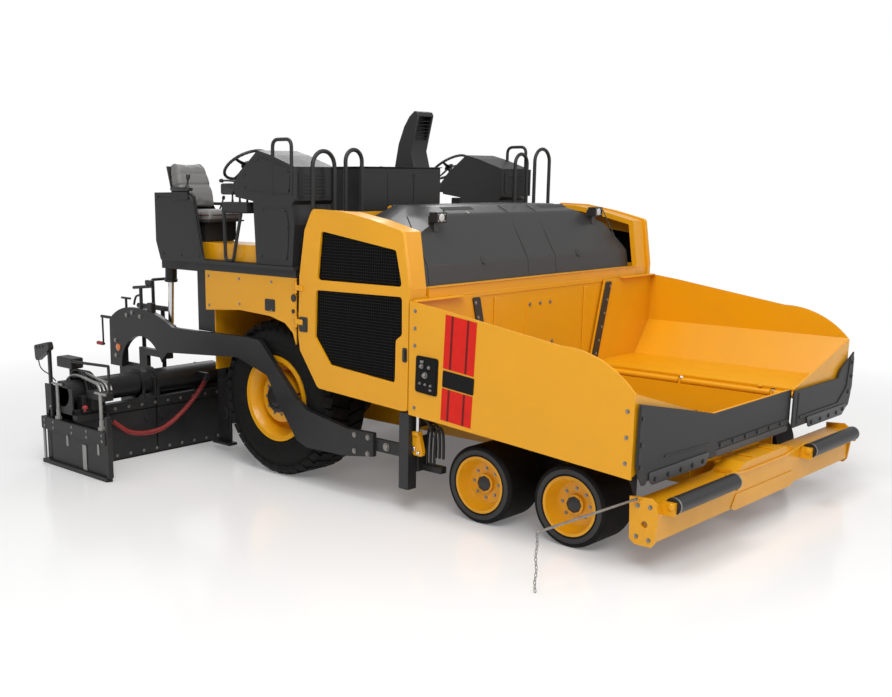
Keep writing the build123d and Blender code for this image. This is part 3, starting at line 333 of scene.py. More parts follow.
def both(name, body, coat, replaces=None, middles=None, smooth_angle=35.0):
    """One piece a side: lends out each side's fabrication, then hands it in. {} stands for the side,
    which the fabrication has as its name."""
    for side, s in SIDES:
        part = Fabrication(s, middles[side] if middles else 0.0, name=side)
        yield part
        replaced = replaces and replaces.format(side)
        part.done(name.format(side), body.format(side), coat, replaced, smooth_angle)


cord_line = smooth_route([(AXLE_X + CORD_X, y, z) for y, z in CORD_ROUTE])
cord_path = [cord_line[0]]
travel = 0.0
for before, here in zip(cord_line, cord_line[1:]):
    run = here - before
    aside = Vector(FORWARD)
    up = run.normalized().cross(aside)
    steps = max(1, round(run.length / CORD_PITCH * STEPS_A_TURN))
    for k in range(steps):
        turn = math.tau * (travel + run.length * k / steps) / CORD_PITCH
        swing = aside * math.cos(turn) + up * math.sin(turn)
        cord_path.append(before + run * k / steps + swing * CORD_COIL_R)
    travel += run.length
cord_path.append(cord_line[-1])
cord_length = sum((b - a).length for a, b in zip(cord_path, cord_path[1:]))

cord_finish = Finish("curly_cord_red")
dust = cord_finish.band(cord_finish.noise(90.0), 0.4, 0.7)
cord_red = ("cord_red", cord_finish.set(
    Base_Color=cord_finish.mix(dust, solid((0.42, 0.035, 0.03)), solid((0.30, 0.03, 0.028))),
    Roughness=0.38,
    Coat_Weight=0.2,
))
curl = Fabrication(shift=0.0)
curl.skin(rings_along(cord_path, CORD_WIRE_R, 6))
curl = curl.done("cord_curl", "extension_right", cord_red, "curly_cord", 60)
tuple(cord_path[0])


# Studio: a pale glossy floor that runs out to white, and four large soft lamps
# with a plain bright surround. None of it is part of the machine.
FLOOR_SIZE = 120.0
FLOOR_WHITE_NEAR = 0.14
FLOOR_FADE = (3.2, 7.5)
WHITE = (1.0, 1.0, 1.0, 1.0)
DIFFUSE_LIGHT, GLINT_LIGHT, SEEN_LIGHT = 0.44, 0.62, 1.0
LAMPS = {
    "key": ((5.5, -6.5, 7.5), (0.4, 0.0, 0.8), 5.0, 430.0),
    "fill": ((7.5, 3.5, 4.5), (0.6, 0.0, 0.8), 5.0, 100.0),
    "top": ((1.6, -2.6, 8.5), (1.6, 0.2, 0.8), 4.0, 300.0),
    "back": ((-6.0, 4.5, 6.0), (0.0, 0.0, 1.0), 5.0, 190.0),
}
floor_bm = bmesh.new()
bmesh.ops.create_grid(floor_bm, x_segments=1, y_segments=1, size=FLOOR_SIZE / 2)
floor_mesh = bpy.data.meshes.new("studio_floor")
floor_bm.to_mesh(floor_mesh)
floor_bm.free()
floor = bpy.data.objects.new("studio_floor", floor_mesh)
bpy.context.scene.collection.objects.link(floor)
floor_finish = Finish("studio_floor")
floor_mesh.materials.append(floor_finish.set(Base_Color=solid((0.93, 0.93, 0.93)), Roughness=0.16))
away = floor_finish.add("ShaderNodeVectorMath", {"operation": "LENGTH"}, {0: floor_finish.place}, "Value")
rays = floor_finish.add("ShaderNodeLightPath", out="Is Camera Ray")
glints = floor_finish.add("ShaderNodeLightPath", out="Is Glossy Ray")
paper = floor_finish.add("ShaderNodeEmission", {}, {"Color": WHITE, "Strength": 1.0})
blend = floor_finish.add("ShaderNodeMixShader", {}, {
    0: floor_finish.band(away, *FLOOR_FADE, FLOOR_WHITE_NEAR, 1.0) * rays.math("MAXIMUM", rays, glints),
    1: Value(floor_finish, floor_finish.shader.outputs[0]),
    2: paper,
})
floor_finish.tree.links.new(blend.socket, floor_finish.tree.nodes["Material Output"].inputs["Surface"])

world = bpy.data.worlds.new("studio")
world.use_nodes = True
bpy.context.scene.world = world
sky = world.node_tree
surround = sky.nodes["Background"]
surround.inputs["Color"].default_value = WHITE
ray = sky.nodes.new("ShaderNodeLightPath")
glinting = sky.nodes.new("ShaderNodeMapRange")
glinting.inputs["To Min"].default_value = DIFFUSE_LIGHT
glinting.inputs["To Max"].default_value = GLINT_LIGHT
strength = sky.nodes.new("ShaderNodeMapRange")
strength.inputs["To Max"].default_value = SEEN_LIGHT
sky.links.new(ray.outputs["Is Glossy Ray"], glinting.inputs["Value"])
sky.links.new(glinting.outputs[0], strength.inputs["To Min"])
sky.links.new(ray.outputs["Is Camera Ray"], strength.inputs["Value"])
sky.links.new(strength.outputs[0], surround.inputs["Strength"])

for lamp_name, (spot, target, size, power) in LAMPS.items():
    lamp_data = bpy.data.lights.new(lamp_name, "AREA")
    lamp_data.shape = "DISK"
    lamp_data.size = size
    lamp_data.energy = power
    lamp = bpy.data.objects.new(lamp_name, lamp_data)
    lamp.location = spot
    lamp.rotation_euler = (Vector(target) - Vector(spot)).to_track_quat("-Z", "Y").to_euler()
    bpy.context.scene.collection.objects.link(lamp)
bpy.context.scene.view_settings.view_transform = "Standard"


# Paint and bare materials of the main solids. The frame, hopper, doors, rims and push beam are
# welded plate under yellow machine enamel; the deck, arms and screed are charcoal and black.
def enamel(slot, name, base, dusty, rough=0.34, coat=0.16, shine=0.35, zone=None, zone_base=None):
    """Machine enamel with faint orange peel. A zone is painted in a second colour."""
    paint = Finish(name)
    mottle = paint.noise(2.3, 4.0, 0.6)
    scuff = paint.band(paint.noise(38.0, 6.0, 0.7, stretch=(1.0, 1.0, 0.35)), 0.62, 0.72)
    low = paint.band(paint.axis("Z"), 0.0, 0.75, 0.55, 0.0)
    grime = paint.band(mottle, 0.35, 0.7) * 0.6 + low * paint.band(paint.noise(9.0, 5.0, 0.65), 0.4, 0.7)
    shade = paint.mix(grime.clamped(), solid(base), solid(dusty))
    gloss = paint.band(mottle, 0.3, 0.75, rough - 0.05, rough + 0.08) + scuff * 0.12
    if zone:
        inside = zone(paint)
        shade = paint.mix(inside, shade, solid(zone_base))
        gloss = gloss + inside * 0.1
    return slot, paint.set(
        Base_Color=shade,
        Roughness=gloss,
        Coat_Weight=coat,
        Coat_Roughness=0.12,
        Specular_IOR_Level=shine,
        Normal=paint.bump(paint.noise(420.0, 1.0), 0.12, 0.0006),
    )


def plain(slot, name, base, second, scale, rough, metal=0.0, bump=0.0, coat=0.0, shine=0.5):
    """A material with a fine grain of two shades."""
    stuff = Finish(name)
    grain = stuff.noise(scale, 4.0, 0.6)
    return slot, stuff.set(
        Base_Color=stuff.mix(stuff.band(grain, 0.35, 0.65), solid(base), solid(second)),
        Roughness=stuff.band(grain, 0.3, 0.7, rough - 0.06, rough + 0.06),
        Metallic=metal,
        Coat_Weight=coat,
        Specular_IOR_Level=shine,
        Normal=stuff.bump(grain, bump, 0.0008),
    )


def outside_frame(paint):
    """The main frame outside its hull plates, ahead of the rear wall."""
    return paint.axis("Y").size().above(0.652) * paint.axis("X").above(AXLE_X - 0.69)


def seat_box(middle):
    """The yellow box under an operator's seat."""
    def zone(paint):
        aside = paint.axis("Y") - middle
        high = paint.axis("Z")
        behind = paint.axis("X").below(AXLE_X - 0.035)
        return (aside * aside).below(0.156 ** 2) * high.above(1.7165) * high.below(1.8565) * behind
    return zone


YELLOW, YELLOW_DUSTY = (0.78, 0.350, 0.004), (0.71, 0.322, 0.008)
CHARCOAL, CHARCOAL_DUSTY = (0.018, 0.018, 0.019), (0.026, 0.0255, 0.025)
BLACK, BLACK_DUSTY = (0.013, 0.013, 0.014), (0.024, 0.0235, 0.023)
CHARCOAL_LOOK = (0.46, 0.05, 0.3)
STATION_MIDDLE = {"right": -1.44, "left": 1.11}
yellow = enamel("yellow_paint", "yellow_enamel", YELLOW, YELLOW_DUSTY)
black = enamel("black_paint", "black_enamel", BLACK, BLACK_DUSTY, 0.42, 0.08, 0.3)
charcoal = enamel("charcoal_paint", "charcoal_enamel", CHARCOAL, CHARCOAL_DUSTY, *CHARCOAL_LOOK)
shell = plain("hood_shell", "hood_shell", (0.03, 0.03, 0.0305), (0.036, 0.036, 0.036), 900.0, 0.36,
              bump=0.25, coat=0.1, shine=0.35)
# The mesh_black sheet behind the door wires is near black: partly its own black paint, partly painted shade
# standing in for the dark engine bay seen through the mesh.
window_black_and_shade = plain("mesh_black", "window_black_and_painted_shade", (0.002, 0.002, 0.0021), (0.003, 0.003, 0.003), 60.0, 0.5,
               shine=0.04)
tyre = plain("tyre_rubber", "tyre_rubber", (0.006, 0.006, 0.006), (0.012, 0.0115, 0.011), 30.0, 0.62,
             bump=0.3, shine=0.12)
flap = plain("flap_rubber", "flap_rubber", (0.024, 0.0245, 0.026), (0.032, 0.032, 0.033), 300.0, 0.52,
             bump=0.3, shine=0.3)
iron = plain("engine_iron", "engine_iron", (0.02, 0.02, 0.02), (0.035, 0.035, 0.035), 60.0, 0.6)
steel = plain("bare_steel", "bare_steel", (0.22, 0.21, 0.2), (0.32, 0.3, 0.28), 40.0, 0.42, metal=0.9)
chrome = plain("rod_chrome", "rod_chrome", (0.62, 0.62, 0.63), (0.66, 0.66, 0.66), 20.0, 0.12, metal=1.0)
plastic = plain("helm_plastic", "helm_plastic", (0.012, 0.012, 0.013), (0.018, 0.018, 0.018), 400.0, 0.4,
                bump=0.2)
moulding = ("black_paint", plastic[1])

slot_finish = dict((
    yellow, black, charcoal, shell, window_black_and_shade, tyre, flap, iron, steel, chrome, plastic, cord_red,
    ("seat_vinyl", plastic[1]),
))
node_finish = {"main_frame": enamel("yellow_paint", "frame_enamel", YELLOW, YELLOW_DUSTY,
                                    zone=outside_frame, zone_base=CHARCOAL)[1]}
for side, s in SIDES:
    node_finish["station_" + side] = enamel(
        "charcoal_paint", side + "_station_enamel", CHARCOAL, CHARCOAL_DUSTY, *CHARCOAL_LOOK,
        zone=seat_box(STATION_MIDDLE[side]), zone_base=YELLOW,
    )[1]
for part in frame["record"]["subparts"]:
    for material_slot in nodes[part["node"]].material_slots:
        material_slot.material = node_finish.get(part["node"], slot_finish[part["material_slot"]])


# Wheels: bias-ply drive tyres with two rows of slanting lugs on a yellow rim, hub caps on the
# planetary drums, and solid bogie tyres. Lugs and bolts are one part set at many spots.
class Repeat:
    """A Geometry Nodes tree that sets one small part at each spot of a mesh, turned and sized there."""

    def __init__(self, name, **sizes):
        self.tree = bpy.data.node_groups.new(name, "GeometryNodeTree")
        face = self.tree.interface
        face.new_socket("Spots", in_out="INPUT", socket_type="NodeSocketGeometry")
        for label, value in sizes.items():
            face.new_socket(label, in_out="INPUT", socket_type="NodeSocketFloat").default_value = value
        face.new_socket("Finish", in_out="INPUT", socket_type="NodeSocketMaterial")
        face.new_socket("Parts", in_out="OUTPUT", socket_type="NodeSocketGeometry")
        self.given = self.tree.nodes.new("NodeGroupInput").outputs

    def add(self, kind, values=None, settings=None):
        node = self.tree.nodes.new(kind)
        for key, value in (settings or {}).items():
            setattr(node, key, value)
        for key, value in (values or {}).items():
            for source in value if isinstance(value, list) else [value]:
                if isinstance(source, bpy.types.NodeSocket):
                    self.tree.links.new(source, node.inputs[key])
                else:
                    node.inputs[key].default_value = source
        return node.outputs[0]

    def lifted(self, part, height):
        """The part with its foot on the spot's plane, when its middle is at half of its height."""
        half = self.add("ShaderNodeMath", {0: height, 1: 0.5}, {"operation": "MULTIPLY"})
        up = self.add("ShaderNodeCombineXYZ", {"Z": half})
        return self.add("GeometryNodeTransform", {"Geometry": part, "Translation": up})

    def close(self, part):
        """Ends the tree: the part stands at every spot as a real mesh with its finish."""
        spots = self.add("GeometryNodeMeshToPoints", {"Mesh": self.given["Spots"]})
        turn, size = [
            self.add("GeometryNodeInputNamedAttribute", {"Name": label}, {"data_type": "FLOAT_VECTOR"})
            for label in ("turn", "size")
        ]
        values = {"Points": spots, "Instance": part, "Rotation": turn, "Scale": size}
        placed = self.add("GeometryNodeInstanceOnPoints", values)
        real = self.add("GeometryNodeRealizeInstances", {"Geometry": placed})
        painted = self.add("GeometryNodeSetMaterial", {"Geometry": real, "Material": self.given["Finish"]})
        self.tree.links.new(painted, self.tree.nodes.new("NodeGroupOutput").inputs[0])

    def run(self, name, body, coat, spots, replaces=None):
        """Makes a piece. A spot is (point, turn, size), with x from the drive axle."""
        mesh = bpy.data.meshes.new(name)
        mesh.from_pydata([(AXLE_X + x, y, z) for (x, y, z), turn, size in spots], [], [])
        for label, column in (("turn", 1), ("size", 2)):
            data = mesh.attributes.new(label, "FLOAT_VECTOR", "POINT").data
            data.foreach_set("vector", [number for spot in spots for number in spot[column]])
        carrier = bpy.data.objects.new(name, mesh)
        bpy.context.scene.collection.objects.link(carrier)
        modifier = carrier.modifiers.new("repeat", "NODES")
        modifier.node_group = self.tree
        for socket in self.tree.interface.items_tree:
            if socket.name == "Finish":
                modifier[socket.identifier] = coat[1]
        made = bpy.data.meshes.new_from_object(carrier.evaluated_get(bpy.context.evaluated_depsgraph_get()))
        bpy.data.objects.remove(carrier)
        bpy.data.meshes.remove(mesh)
        made.name = name
        made.materials.clear()
        piece = place(made, name, body, coat)
        if replaces:
            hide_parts(replaces)


def facing(direction):
    """The turn that brings a part's Z to a direction."""
    return tuple(Vector(direction).to_track_quat("Z", "Y").to_euler())


blocks = Repeat("blocks")
blocks.close(blocks.add("GeometryNodeMeshCube", {"Size": (1.0, 1.0, 1.0)}))
bolts = Repeat("hex_bolts", Head_Radius=0.012, Head_Height=0.008, Washer_Radius=0.016, Washer_Height=0.003)
bolts.close(bolts.add("GeometryNodeJoinGeometry", {"Geometry": [
    bolts.lifted(bolts.add("GeometryNodeMeshCylinder", {
        "Vertices": corners,
        "Radius": bolts.given[label + "_Radius"],
        "Depth": bolts.given[label + "_Height"],
    }), bolts.given[label + "_Height"])
    for label, corners in (("Head", 6), ("Washer", 14))
]}))


def bolted(name, body, coat, size, outward=(), forward=(), middles=None):
    """Hex bolts on outer and front faces, at x, y, z. A name with {} in it stands for one piece a side."""
    for side, s in SIDES if "{}" in name else SIDES[1:]:
        middle = middles[side] if middles else 0.0
        spots = [
            ((x, middle + s * y, z), facing(way), (size, size, size))
            for way, points in (((0, s, 0), outward), (FORWARD, forward)) for x, y, z in points
        ]
        bolts.run(name.format(side), body.format(side), coat, spots)


def grid(xs, y, zs):
    """Bolt spots in rows on an outer face."""
    return [(x, y, z) for x in xs for z in zs]


def circle(x, y, z, radius, count):
    """Bolt spots on a circle round an axle."""
    turns = [math.tau * k / count for k in range(count)]
    return [(x + radius * math.cos(turn), y, z + radius * math.sin(turn)) for turn in turns]


DRIVE_AXLE_Z = 0.632
BOGIE_AXLE_Z = 0.2795
BOGIE_AXLES = {"rear": 2.0095, "front": 2.7505}
TYRE_INNER_Y = 1.0855
TYRE_MIDDLE_Y = 1.308
TYRE_PROFILE = (
    (0.026, 0.318), (0.026, 0.351), (0.018, 0.362), (0.012, 0.366), (0.011, 0.378), (0.015, 0.384),
    (0.004, 0.425),
    (0, 0.47), (0.003, 0.515), (0.012, 0.545), (0.03, 0.58), (0.06, 0.6), (0.11, 0.607), (0.2225, 0.609),
    (0.335, 0.607), (0.385, 0.6), (0.415, 0.58), (0.433, 0.545), (0.442, 0.515), (0.445, 0.47),
    (0.441, 0.425),
    (0.43, 0.384), (0.434, 0.378), (0.433, 0.366), (0.427, 0.362), (0.419, 0.351), (0.419, 0.318),
)
LUGS = 38
LUG_LEAN = 17
LUG_WIDTH = 0.083
# How far across the tread, length, height, distance from the axle and tilt of a lug's tread and shoulder.
LUG_PADS = ((0.088, 0.17, 0.026, 0.6185, 0), (0.185, 0.062, 0.06, 0.583, 42))
for carcass in both("drive_tyre_carcass_{}", "drive_wheel_{}", tyre, "drive_tyre_{}", smooth_angle=28):
    carcass.turned((0, TYRE_INNER_Y, DRIVE_AXLE_Z), OUT, TYRE_PROFILE, 112, loop=True)
for side, s in SIDES:
    lugs = []
    for row in (-1, 1):
        lean = Matrix.Rotation(math.radians(row * LUG_LEAN), 3, "Z")
        for k in range(LUGS):
            stand = Matrix.Rotation(math.tau * (k + (0.5 if row > 0 else 0)) / LUGS, 3, "Y")
            for across, length, height, radius, tilt in LUG_PADS:
                tip = stand @ Matrix.Rotation(math.radians(-row * tilt), 3, "X") @ lean
                x, y, z = stand @ Vector((0, row * across, radius))
                spot = (x, s * TYRE_MIDDLE_Y + y, z + DRIVE_AXLE_Z)
                lugs.append((spot, tuple(tip.to_euler()), (LUG_WIDTH, length, height)))
    blocks.run("drive_tyre_lugs_" + side, "drive_wheel_" + side, tyre, lugs, "drive_tyre_" + side)
for cap in both("drive_hub_cap_{}", "drive_wheel_{}", black):
    cap.turned((0, 1.49, DRIVE_AXLE_Z), OUT, (
        (0, 0.118), (0.012, 0.118), (0.016, 0.112), (0.016, 0.07), (0.032, 0.062), (0.036, 0.052),
    ), 40)
    cap.turned((0, 1.5255, DRIVE_AXLE_Z), OUT, ((0, 0.018), (0.004, 0.016), (0.005, 0.006)), 6)
    valve = ((0, 0.006), (0.035, 0.006), (0.036, 0.008), (0.048, 0.007))
    cap.turned((0.232, 1.452, DRIVE_AXLE_Z + 0.06), (0.3, 1, 0.1), valve, 10)
bolted("drive_hub_bolts_{}", "drive_wheel_{}", steel, 0.8, circle(0, 1.49, DRIVE_AXLE_Z, 0.136, 10))
for end, axle in BOGIE_AXLES.items():
    for hub in both("bogie_hub_%s_{}" % end, "bogie_wheel_%s_{}" % end, moulding):
        dome = ((0, 0.056), (0.006, 0.056), (0.01, 0.05), (0.018, 0.034), (0.019, 0.01))
        hub.turned((axle, 1.3575, BOGIE_AXLE_Z), OUT, dome, 8)
        groove = ((-0.003, 0.214), (-0.003, 0.252), (0.003, 0.248), (0.003, 0.218))
        hub.turned((axle, 1.4195, BOGIE_AXLE_Z), OUT, groove, 72, loop=True)


# Main forms that are finer than the frame's: dished rims, the moulded hood, rounded doors, the
# fume stack, arched tow arms, screed extensions and end gates. Each replaces its own solid.
def carve(form, tool, operation="DIFFERENCE"):
    """Cut one form with another, or keep what both share."""
    pair = []
    for part in (form, tool):
        pair.append(bpy.data.objects.new("carving", part.mesh("carving")))
        bpy.context.scene.collection.objects.link(pair[-1])
    carving = pair[0].modifiers.new("carving", "BOOLEAN")
    carving.object = pair[1]
    carving.operation = operation
    carving.solver = "EXACT"
    mesh = bpy.data.meshes.new_from_object(pair[0].evaluated_get(bpy.context.evaluated_depsgraph_get()))
    for piece in pair:
        bpy.data.objects.remove(piece)
    form.bm = bmesh.new()
    form.bm.from_mesh(mesh)


def arc(start, middle, stop, steps=10):
    """Points on the circle through three points, from the first to the last."""
    (ax, ay), (bx, by), (cx, cy) = start, middle, stop
    double = 2 * (ax * (by - cy) + bx * (cy - ay) + cx * (ay - by))
    a, b, c = ax * ax + ay * ay, bx * bx + by * by, cx * cx + cy * cy
    hx = (a * (by - cy) + b * (cy - ay) + c * (ay - by)) / double
    hy = (a * (cx - bx) + b * (ax - cx) + c * (bx - ax)) / double
    radius = math.hypot(ax - hx, ay - hy)
    first, last = math.atan2(ay - hy, ax - hx), math.atan2(cy - hy, cx - hx)
    way = 1 if (bx - ax) * (cy - ay) - (by - ay) * (cx - ax) > 0 else -1
    sweep = (way * (last - first)) % math.tau * way
    turns = [first + sweep * k / steps for k in range(steps + 1)]
    return [(hx + radius * math.cos(turn), hy + radius * math.sin(turn)) for turn in turns]


# Rims are turned from (y, radius); doors and arms are cut from (x, z), flaps from (y, z).
RIM_BOGIE = (
    (1.1, 0.002), (1.1, 0.08), (1.318, 0.08), (1.318, 0.185), (1.064, 0.185), (1.064, 0.203), (1.42, 0.203),
    (1.42, 0.183), (1.406, 0.179), (1.345, 0.156), (1.332, 0.146), (1.332, 0.068), (1.356, 0.068),
    (1.358, 0.064), (1.358, 0.002),
)
RIM_DRIVE = (
    (1.26, 0.002), (1.26, 0.15), (1.336, 0.15), (1.336, 0.298), (1.0955, 0.298), (1.0955, 0.351),
    (1.1105, 0.351),
    (1.1105, 0.318), (1.5055, 0.318), (1.5055, 0.351), (1.5205, 0.351), (1.5185, 0.312), (1.4605, 0.268),
    (1.37, 0.256), (1.358, 0.244), (1.358, 0.214), (1.4705, 0.2), (1.4905, 0.154), (1.4905, 0.002),
)
FLAP_SHAPE = {
    "right": ((0.59, 0.575), (0.59, 0.862), (1.605, 1.071), (1.612, 0.69), (1.575, 0.606), (1.5, 0.575)),
    "left": (
        (0.59, 0.575), (0.59, 0.856), (1.396, 0.847), (1.44, 0.913), (1.675, 1.03), (1.675, 0.69),
        (1.645, 0.606), (1.565, 0.575),
    ),
}
DOOR_SHAPE = (
    (1.518, 1.64), (1.458, 2.02), (1.146, 2.094), (0.847, 2.144), (0.554, 2.153), (0.47, 1.996), (0.41, 1.65),
    (0.392, 1.197), (0.41, 1.082), (0.605, 0.812), (1.445, 0.76), (1.514, 0.76),
)
WINDOWS = (
    ((0.649, 1.995), (1.395, 1.888), (1.454, 1.636), (0.603, 1.632)),
    (
        (0.591, 1.557), (1.455, 1.567), (1.458, 1.301), (1.401, 1.26), (1.395, 0.951), (0.737, 1.005),
        (0.576, 1.201),
    ),
)
ARM_CREST = (-1.85, 1.222)
ARM_TOP = (
    (-1.2, 1.0975), (-0.91, 1.101), (-0.256, 1.113), (-0.108, 1.103), (0.333, 0.672), (0.446, 0.608),
    (0.883, 0.533), (1.15, 0.54),
)
ARM_FOOT = (
    (1.15, 0.36), (0.861, 0.319), (0.442, 0.311), (0.328, 0.349), (0.098, 0.64), (-0.018, 0.829),
    (-0.387, 0.934), (-1.347, 0.873),
)
ARM_SHAPE = (
    *arc((-2.235, 1.085), (-2.08, 1.185), ARM_CREST), *arc(ARM_CREST, (-1.54, 1.2), (-1.263, 1.095))[1:],
    *rounded(ARM_TOP, 0.06, 5), *rounded(ARM_FOOT, 0.06, 5),
    *arc((-1.44, 0.77), (-1.75, 0.975), (-2.053, 0.72), 18), (-2.053, 0.66), (-2.245, 0.66),
)
for end, axle in BOGIE_AXLES.items():
    names = ("bogie_dish_%s_{}" % end, "bogie_wheel_%s_{}" % end, yellow, "bogie_rim_%s_{}" % end)
    for rim in both(*names):
        rim.turned((axle, 0, BOGIE_AXLE_Z), OUT, RIM_BOGIE, 56)
    bolted("bogie_nuts_%s_{}" % end, names[1], steel, 0.8, circle(axle, 1.332, BOGIE_AXLE_Z, 0.106, 8))
for rim in both("drive_dish_{}", "drive_wheel_{}", yellow, "drive_rim_{}"):
    rim.turned((0, 0, DRIVE_AXLE_Z), OUT, RIM_DRIVE, 72)
for apron in both("apron_flap_{}", "wing_{}", flap, "flap_{}"):
    apron.plate(FLAP_SHAPE[apron.name], "x", 3.325, 3.339, 0.003)
    apron.bars(0.002, (3.31, 3.325, 0.72, 1.56, 0.78, 0.84))

for door in both("door_panel_{}", "door_{}", yellow, "door_{}"):
    door.plate(DOOR_SHAPE, "y", 1.589, 1.625, 0.004, 0.03, 5)
    for outline in WINDOWS:
        opening = Fabrication(door.side)
        opening.plate(outline, "y", 1.55, 1.65, 0, 0.028, 5)
        carve(door, opening)
    for z in (1.3, 1.56):
        door.bars(0.003, (0.381, 0.45, 1.624, 1.641, z - 0.02, z + 0.02))
        door.rods(0.009, 16, (0.381, 1.635, z - 0.02, 0.381, 1.635, z + 0.02))

for arch in both("tow_arch_{}", "screed", black, "tow_arms"):
    arch.plate(ARM_SHAPE, "y", 1.545, 1.59, 0.005)
    arch.bars(0.005, (1.14, 1.475, 1.535, 1.56, 0.4, 0.5))
    arch.rods(0.03, 24, (-1.48, 1.4703, 1.06, -1.48, 1.546, 1.06))
    arch.rods(0.014, 16, (-2.396, 1.5675, 1.1, -2.2, 1.5675, 1.1))
    arch.rods(0.009, 12, (-2.38, 1.5675, 0.836, -2.38, 1.5675, 1.104))
    arch.rods(0.012, 12, (-2.48, 1.5675, 0.84, -2.366, 1.5675, 0.84))

for beam in both("extension_frame_{}", "extension_{}", black, "extension_{}"):
    beam.bars(
        0.003,
        (-1.722, -1.3, 1, 2.595, 0, 0.016), (-1.314, -1.3, 1, 2.595, 0, 0.5),
        (-1.722, -1.708, 1, 2.595, 0, 0.42),
        (-1.722, -1.3, 1, 2.595, 0.406, 0.42), (-1.722, -1.3, 1, 1.016, 0, 0.677),
        (-1.722, -1.3, 1.75, 1.766, 0, 0.677), (-1.722, -1.3, 2.275, 2.291, 0, 0.677),
        (-1.722, -1.3, 2.579, 2.595, 0, 0.677), (-1.682, -1.24, 2.275, 2.595, 0.41, 0.46),
        (-1.62, -1.5, 2.335, 2.535, 0.45, 0.7), (-1.36, -1.27, 2.355, 2.515, 0.45, 0.61),
    )
    beam.rods(0.105, 40, (-1.45, 1, 0.617, -1.45, 2.595, 0.617))
    for y in (1.7, 1.85):
        clamp = ((0, 0.129), (0.004, 0.135), (0.026, 0.135), (0.03, 0.129))
        beam.turned((-1.45, y, 0.617), OUT, clamp, 36)
        ear = ((-1.4, 0.7), (-1.335, 0.64), (-1.285, 0.31), (-1.305, 0.3), (-1.45, 0.52))
        beam.plate(ear, "y", y, y + 0.03, 0.003)
    if beam.name == "right":
        beam.bars(0.003, (-1.304, -1.215, 2.3, 2.33, 0.39, 0.44), (-1.36, -1.215, 1.232, 1.262, 0.62, 0.66))
        beam.rods(0.026, 20, (CORD_X, 2.2682, 0.3721, CORD_X, 2.312, 0.4045),
                  (CORD_X, 1.2719, 0.5903, CORD_X, 1.243, 0.642))

for gate in both("gate_frame_{}", "extension_{}", black, "end_gate_{}"):
    gate.bars(
        0.003,
        (-1.604, -0.75, 2.5953, 2.6213, 0, 0.405), (-1.714, -0.76, 2.5953, 2.6503, 0.3, 0.405),
        (-1.724, -0.76, 2.5953, 2.6503, 0, 0.034), (-0.77, -0.735, 2.5953, 2.6403, 0.032, 0.53),
        (-1.61, -1.58, 2.5953, 2.6213, 0.403, 1.01),
    )


def hood_form(inset):
    """The hood's outside, or its hollow when inset: one section kept within one side view."""
    half, top, bottom = 1.4 - inset, 2.17 - inset, 1.6183 - (0.01 if inset else 0.0)
    rear, front = 0.548 + inset, 1.425 - inset
    section = [(half, bottom), (half, 1.76), (1.23 - inset, 1.99), (0.7, top)]
    section += [(-y, z) for y, z in reversed(section)]
    across = Fabrication()
    across.plate(rounded(section, 0.2, 8), "x", rear, front, 0)
    brow = ((rear, top + 0.001), (1.08 - inset, top + 0.001), (1.2 - inset, 2.11), (1.405 - inset, 1.76))
    along = Fabrication()
    side_view = [*rounded(brow, 0.09, 8), (front, bottom - 0.001), (rear, bottom - 0.001)]
    along.plate(side_view, "y", -1.401, 1.401, 0)
    carve(across, along, "INTERSECT")
    return across


hood = hood_form(0.0)
carve(hood, hood_form(0.014))
for y in (-0.7, 0, 0.7):
    hood.bars(0.003, (0.502, 0.558, y - 0.026, y + 0.026, 2.132, 2.168))
for side, s in SIDES:
    hood.bars(0.003, (1.215, 1.275, s * 1.02, s * 1.08, 1.99, 2.11))
    hood.bars(0.005, (1.25, 1.32, s * 1, s * 1.1, 2.06, 2.13))
hood.done("hood_shell", "hood", shell, "hood", 40)

STACK_SHAPE = (
    (0.068, 2.455), (0.3, 2.455), (0.25, 2.6), (0.33, 2.887), (0.316, 2.915),
    (0.285, 2.924), (0.228, 2.88), (0.172, 2.8), (0.111, 2.658),
)
cabinet = Fabrication()
cabinet.plate(STACK_SHAPE, "y", -0.19, 0.01, 0.004)
mouth = Fabrication()
mouth.bars(0, (0.255, 0.345, -0.17, -0.01, 2.69, 2.88))
carve(cabinet, mouth)
cabinet.bars(0.006, (-0.1, 0.3, -0.85, 0.15, 1.69, 2.46))
cabinet.done("cabinet_shell", "tractor", charcoal, "control_cabinet")


# Hopper: the wings' folded rear lips, rubber seals along the bulkhead and hinge covers, with
# the vinyl stripes, the blank plate and the small control panel on the outside.
WING_Y = 1.6255
STRIPE = ((1.852, 1.48), (2.12, 1.447), (2.086, 0.728), (1.821, 0.751))
PANEL = ((1.598, 1.176), (1.797, 1.168), (1.788, 0.905), (1.59, 0.921))
SWITCHES = (  # x, z, radius, height
    (1.655, 1.105, 0.017, 0.022), (1.722, 1.102, 0.013, 0.018), (1.69, 1.045, 0.022, 0.03),
    (1.642, 0.985, 0.01, 0.016), (1.69, 0.981, 0.01, 0.016), (1.738, 0.977, 0.01, 0.016),
)
stripe_red = plain("cord_red", "stripe_red", (0.68, 0.012, 0.005), (0.62, 0.011, 0.005), 12.0, 0.4,
                   coat=0.06, shine=0.2)
stripe_dark = plain("cord_red", "stripe_dark_red", (0.16, 0.004, 0.003), (0.13, 0.004, 0.003), 12.0, 0.4,
                    coat=0.06, shine=0.2)
plate_black = plain("black_paint", "plate_black", (0.004, 0.004, 0.004), (0.006, 0.006, 0.006), 30.0, 0.5,
                    shine=0.15)
seal_rubber = plain("flap_rubber", "seal_rubber", (0.012, 0.012, 0.012), (0.02, 0.02, 0.02), 50.0, 0.55,
                    bump=0.3)


def band_of(corners, left, right, top, bottom):
    """Part of a four-cornered field, by fractions of its width and height."""
    def at(across, down):
        upper = Vector(corners[0]).lerp(Vector(corners[1]), across)
        lower = Vector(corners[3]).lerp(Vector(corners[2]), across)
        return tuple(upper.lerp(lower, down))
    return (at(left, top), at(right, top), at(right, bottom), at(left, bottom))


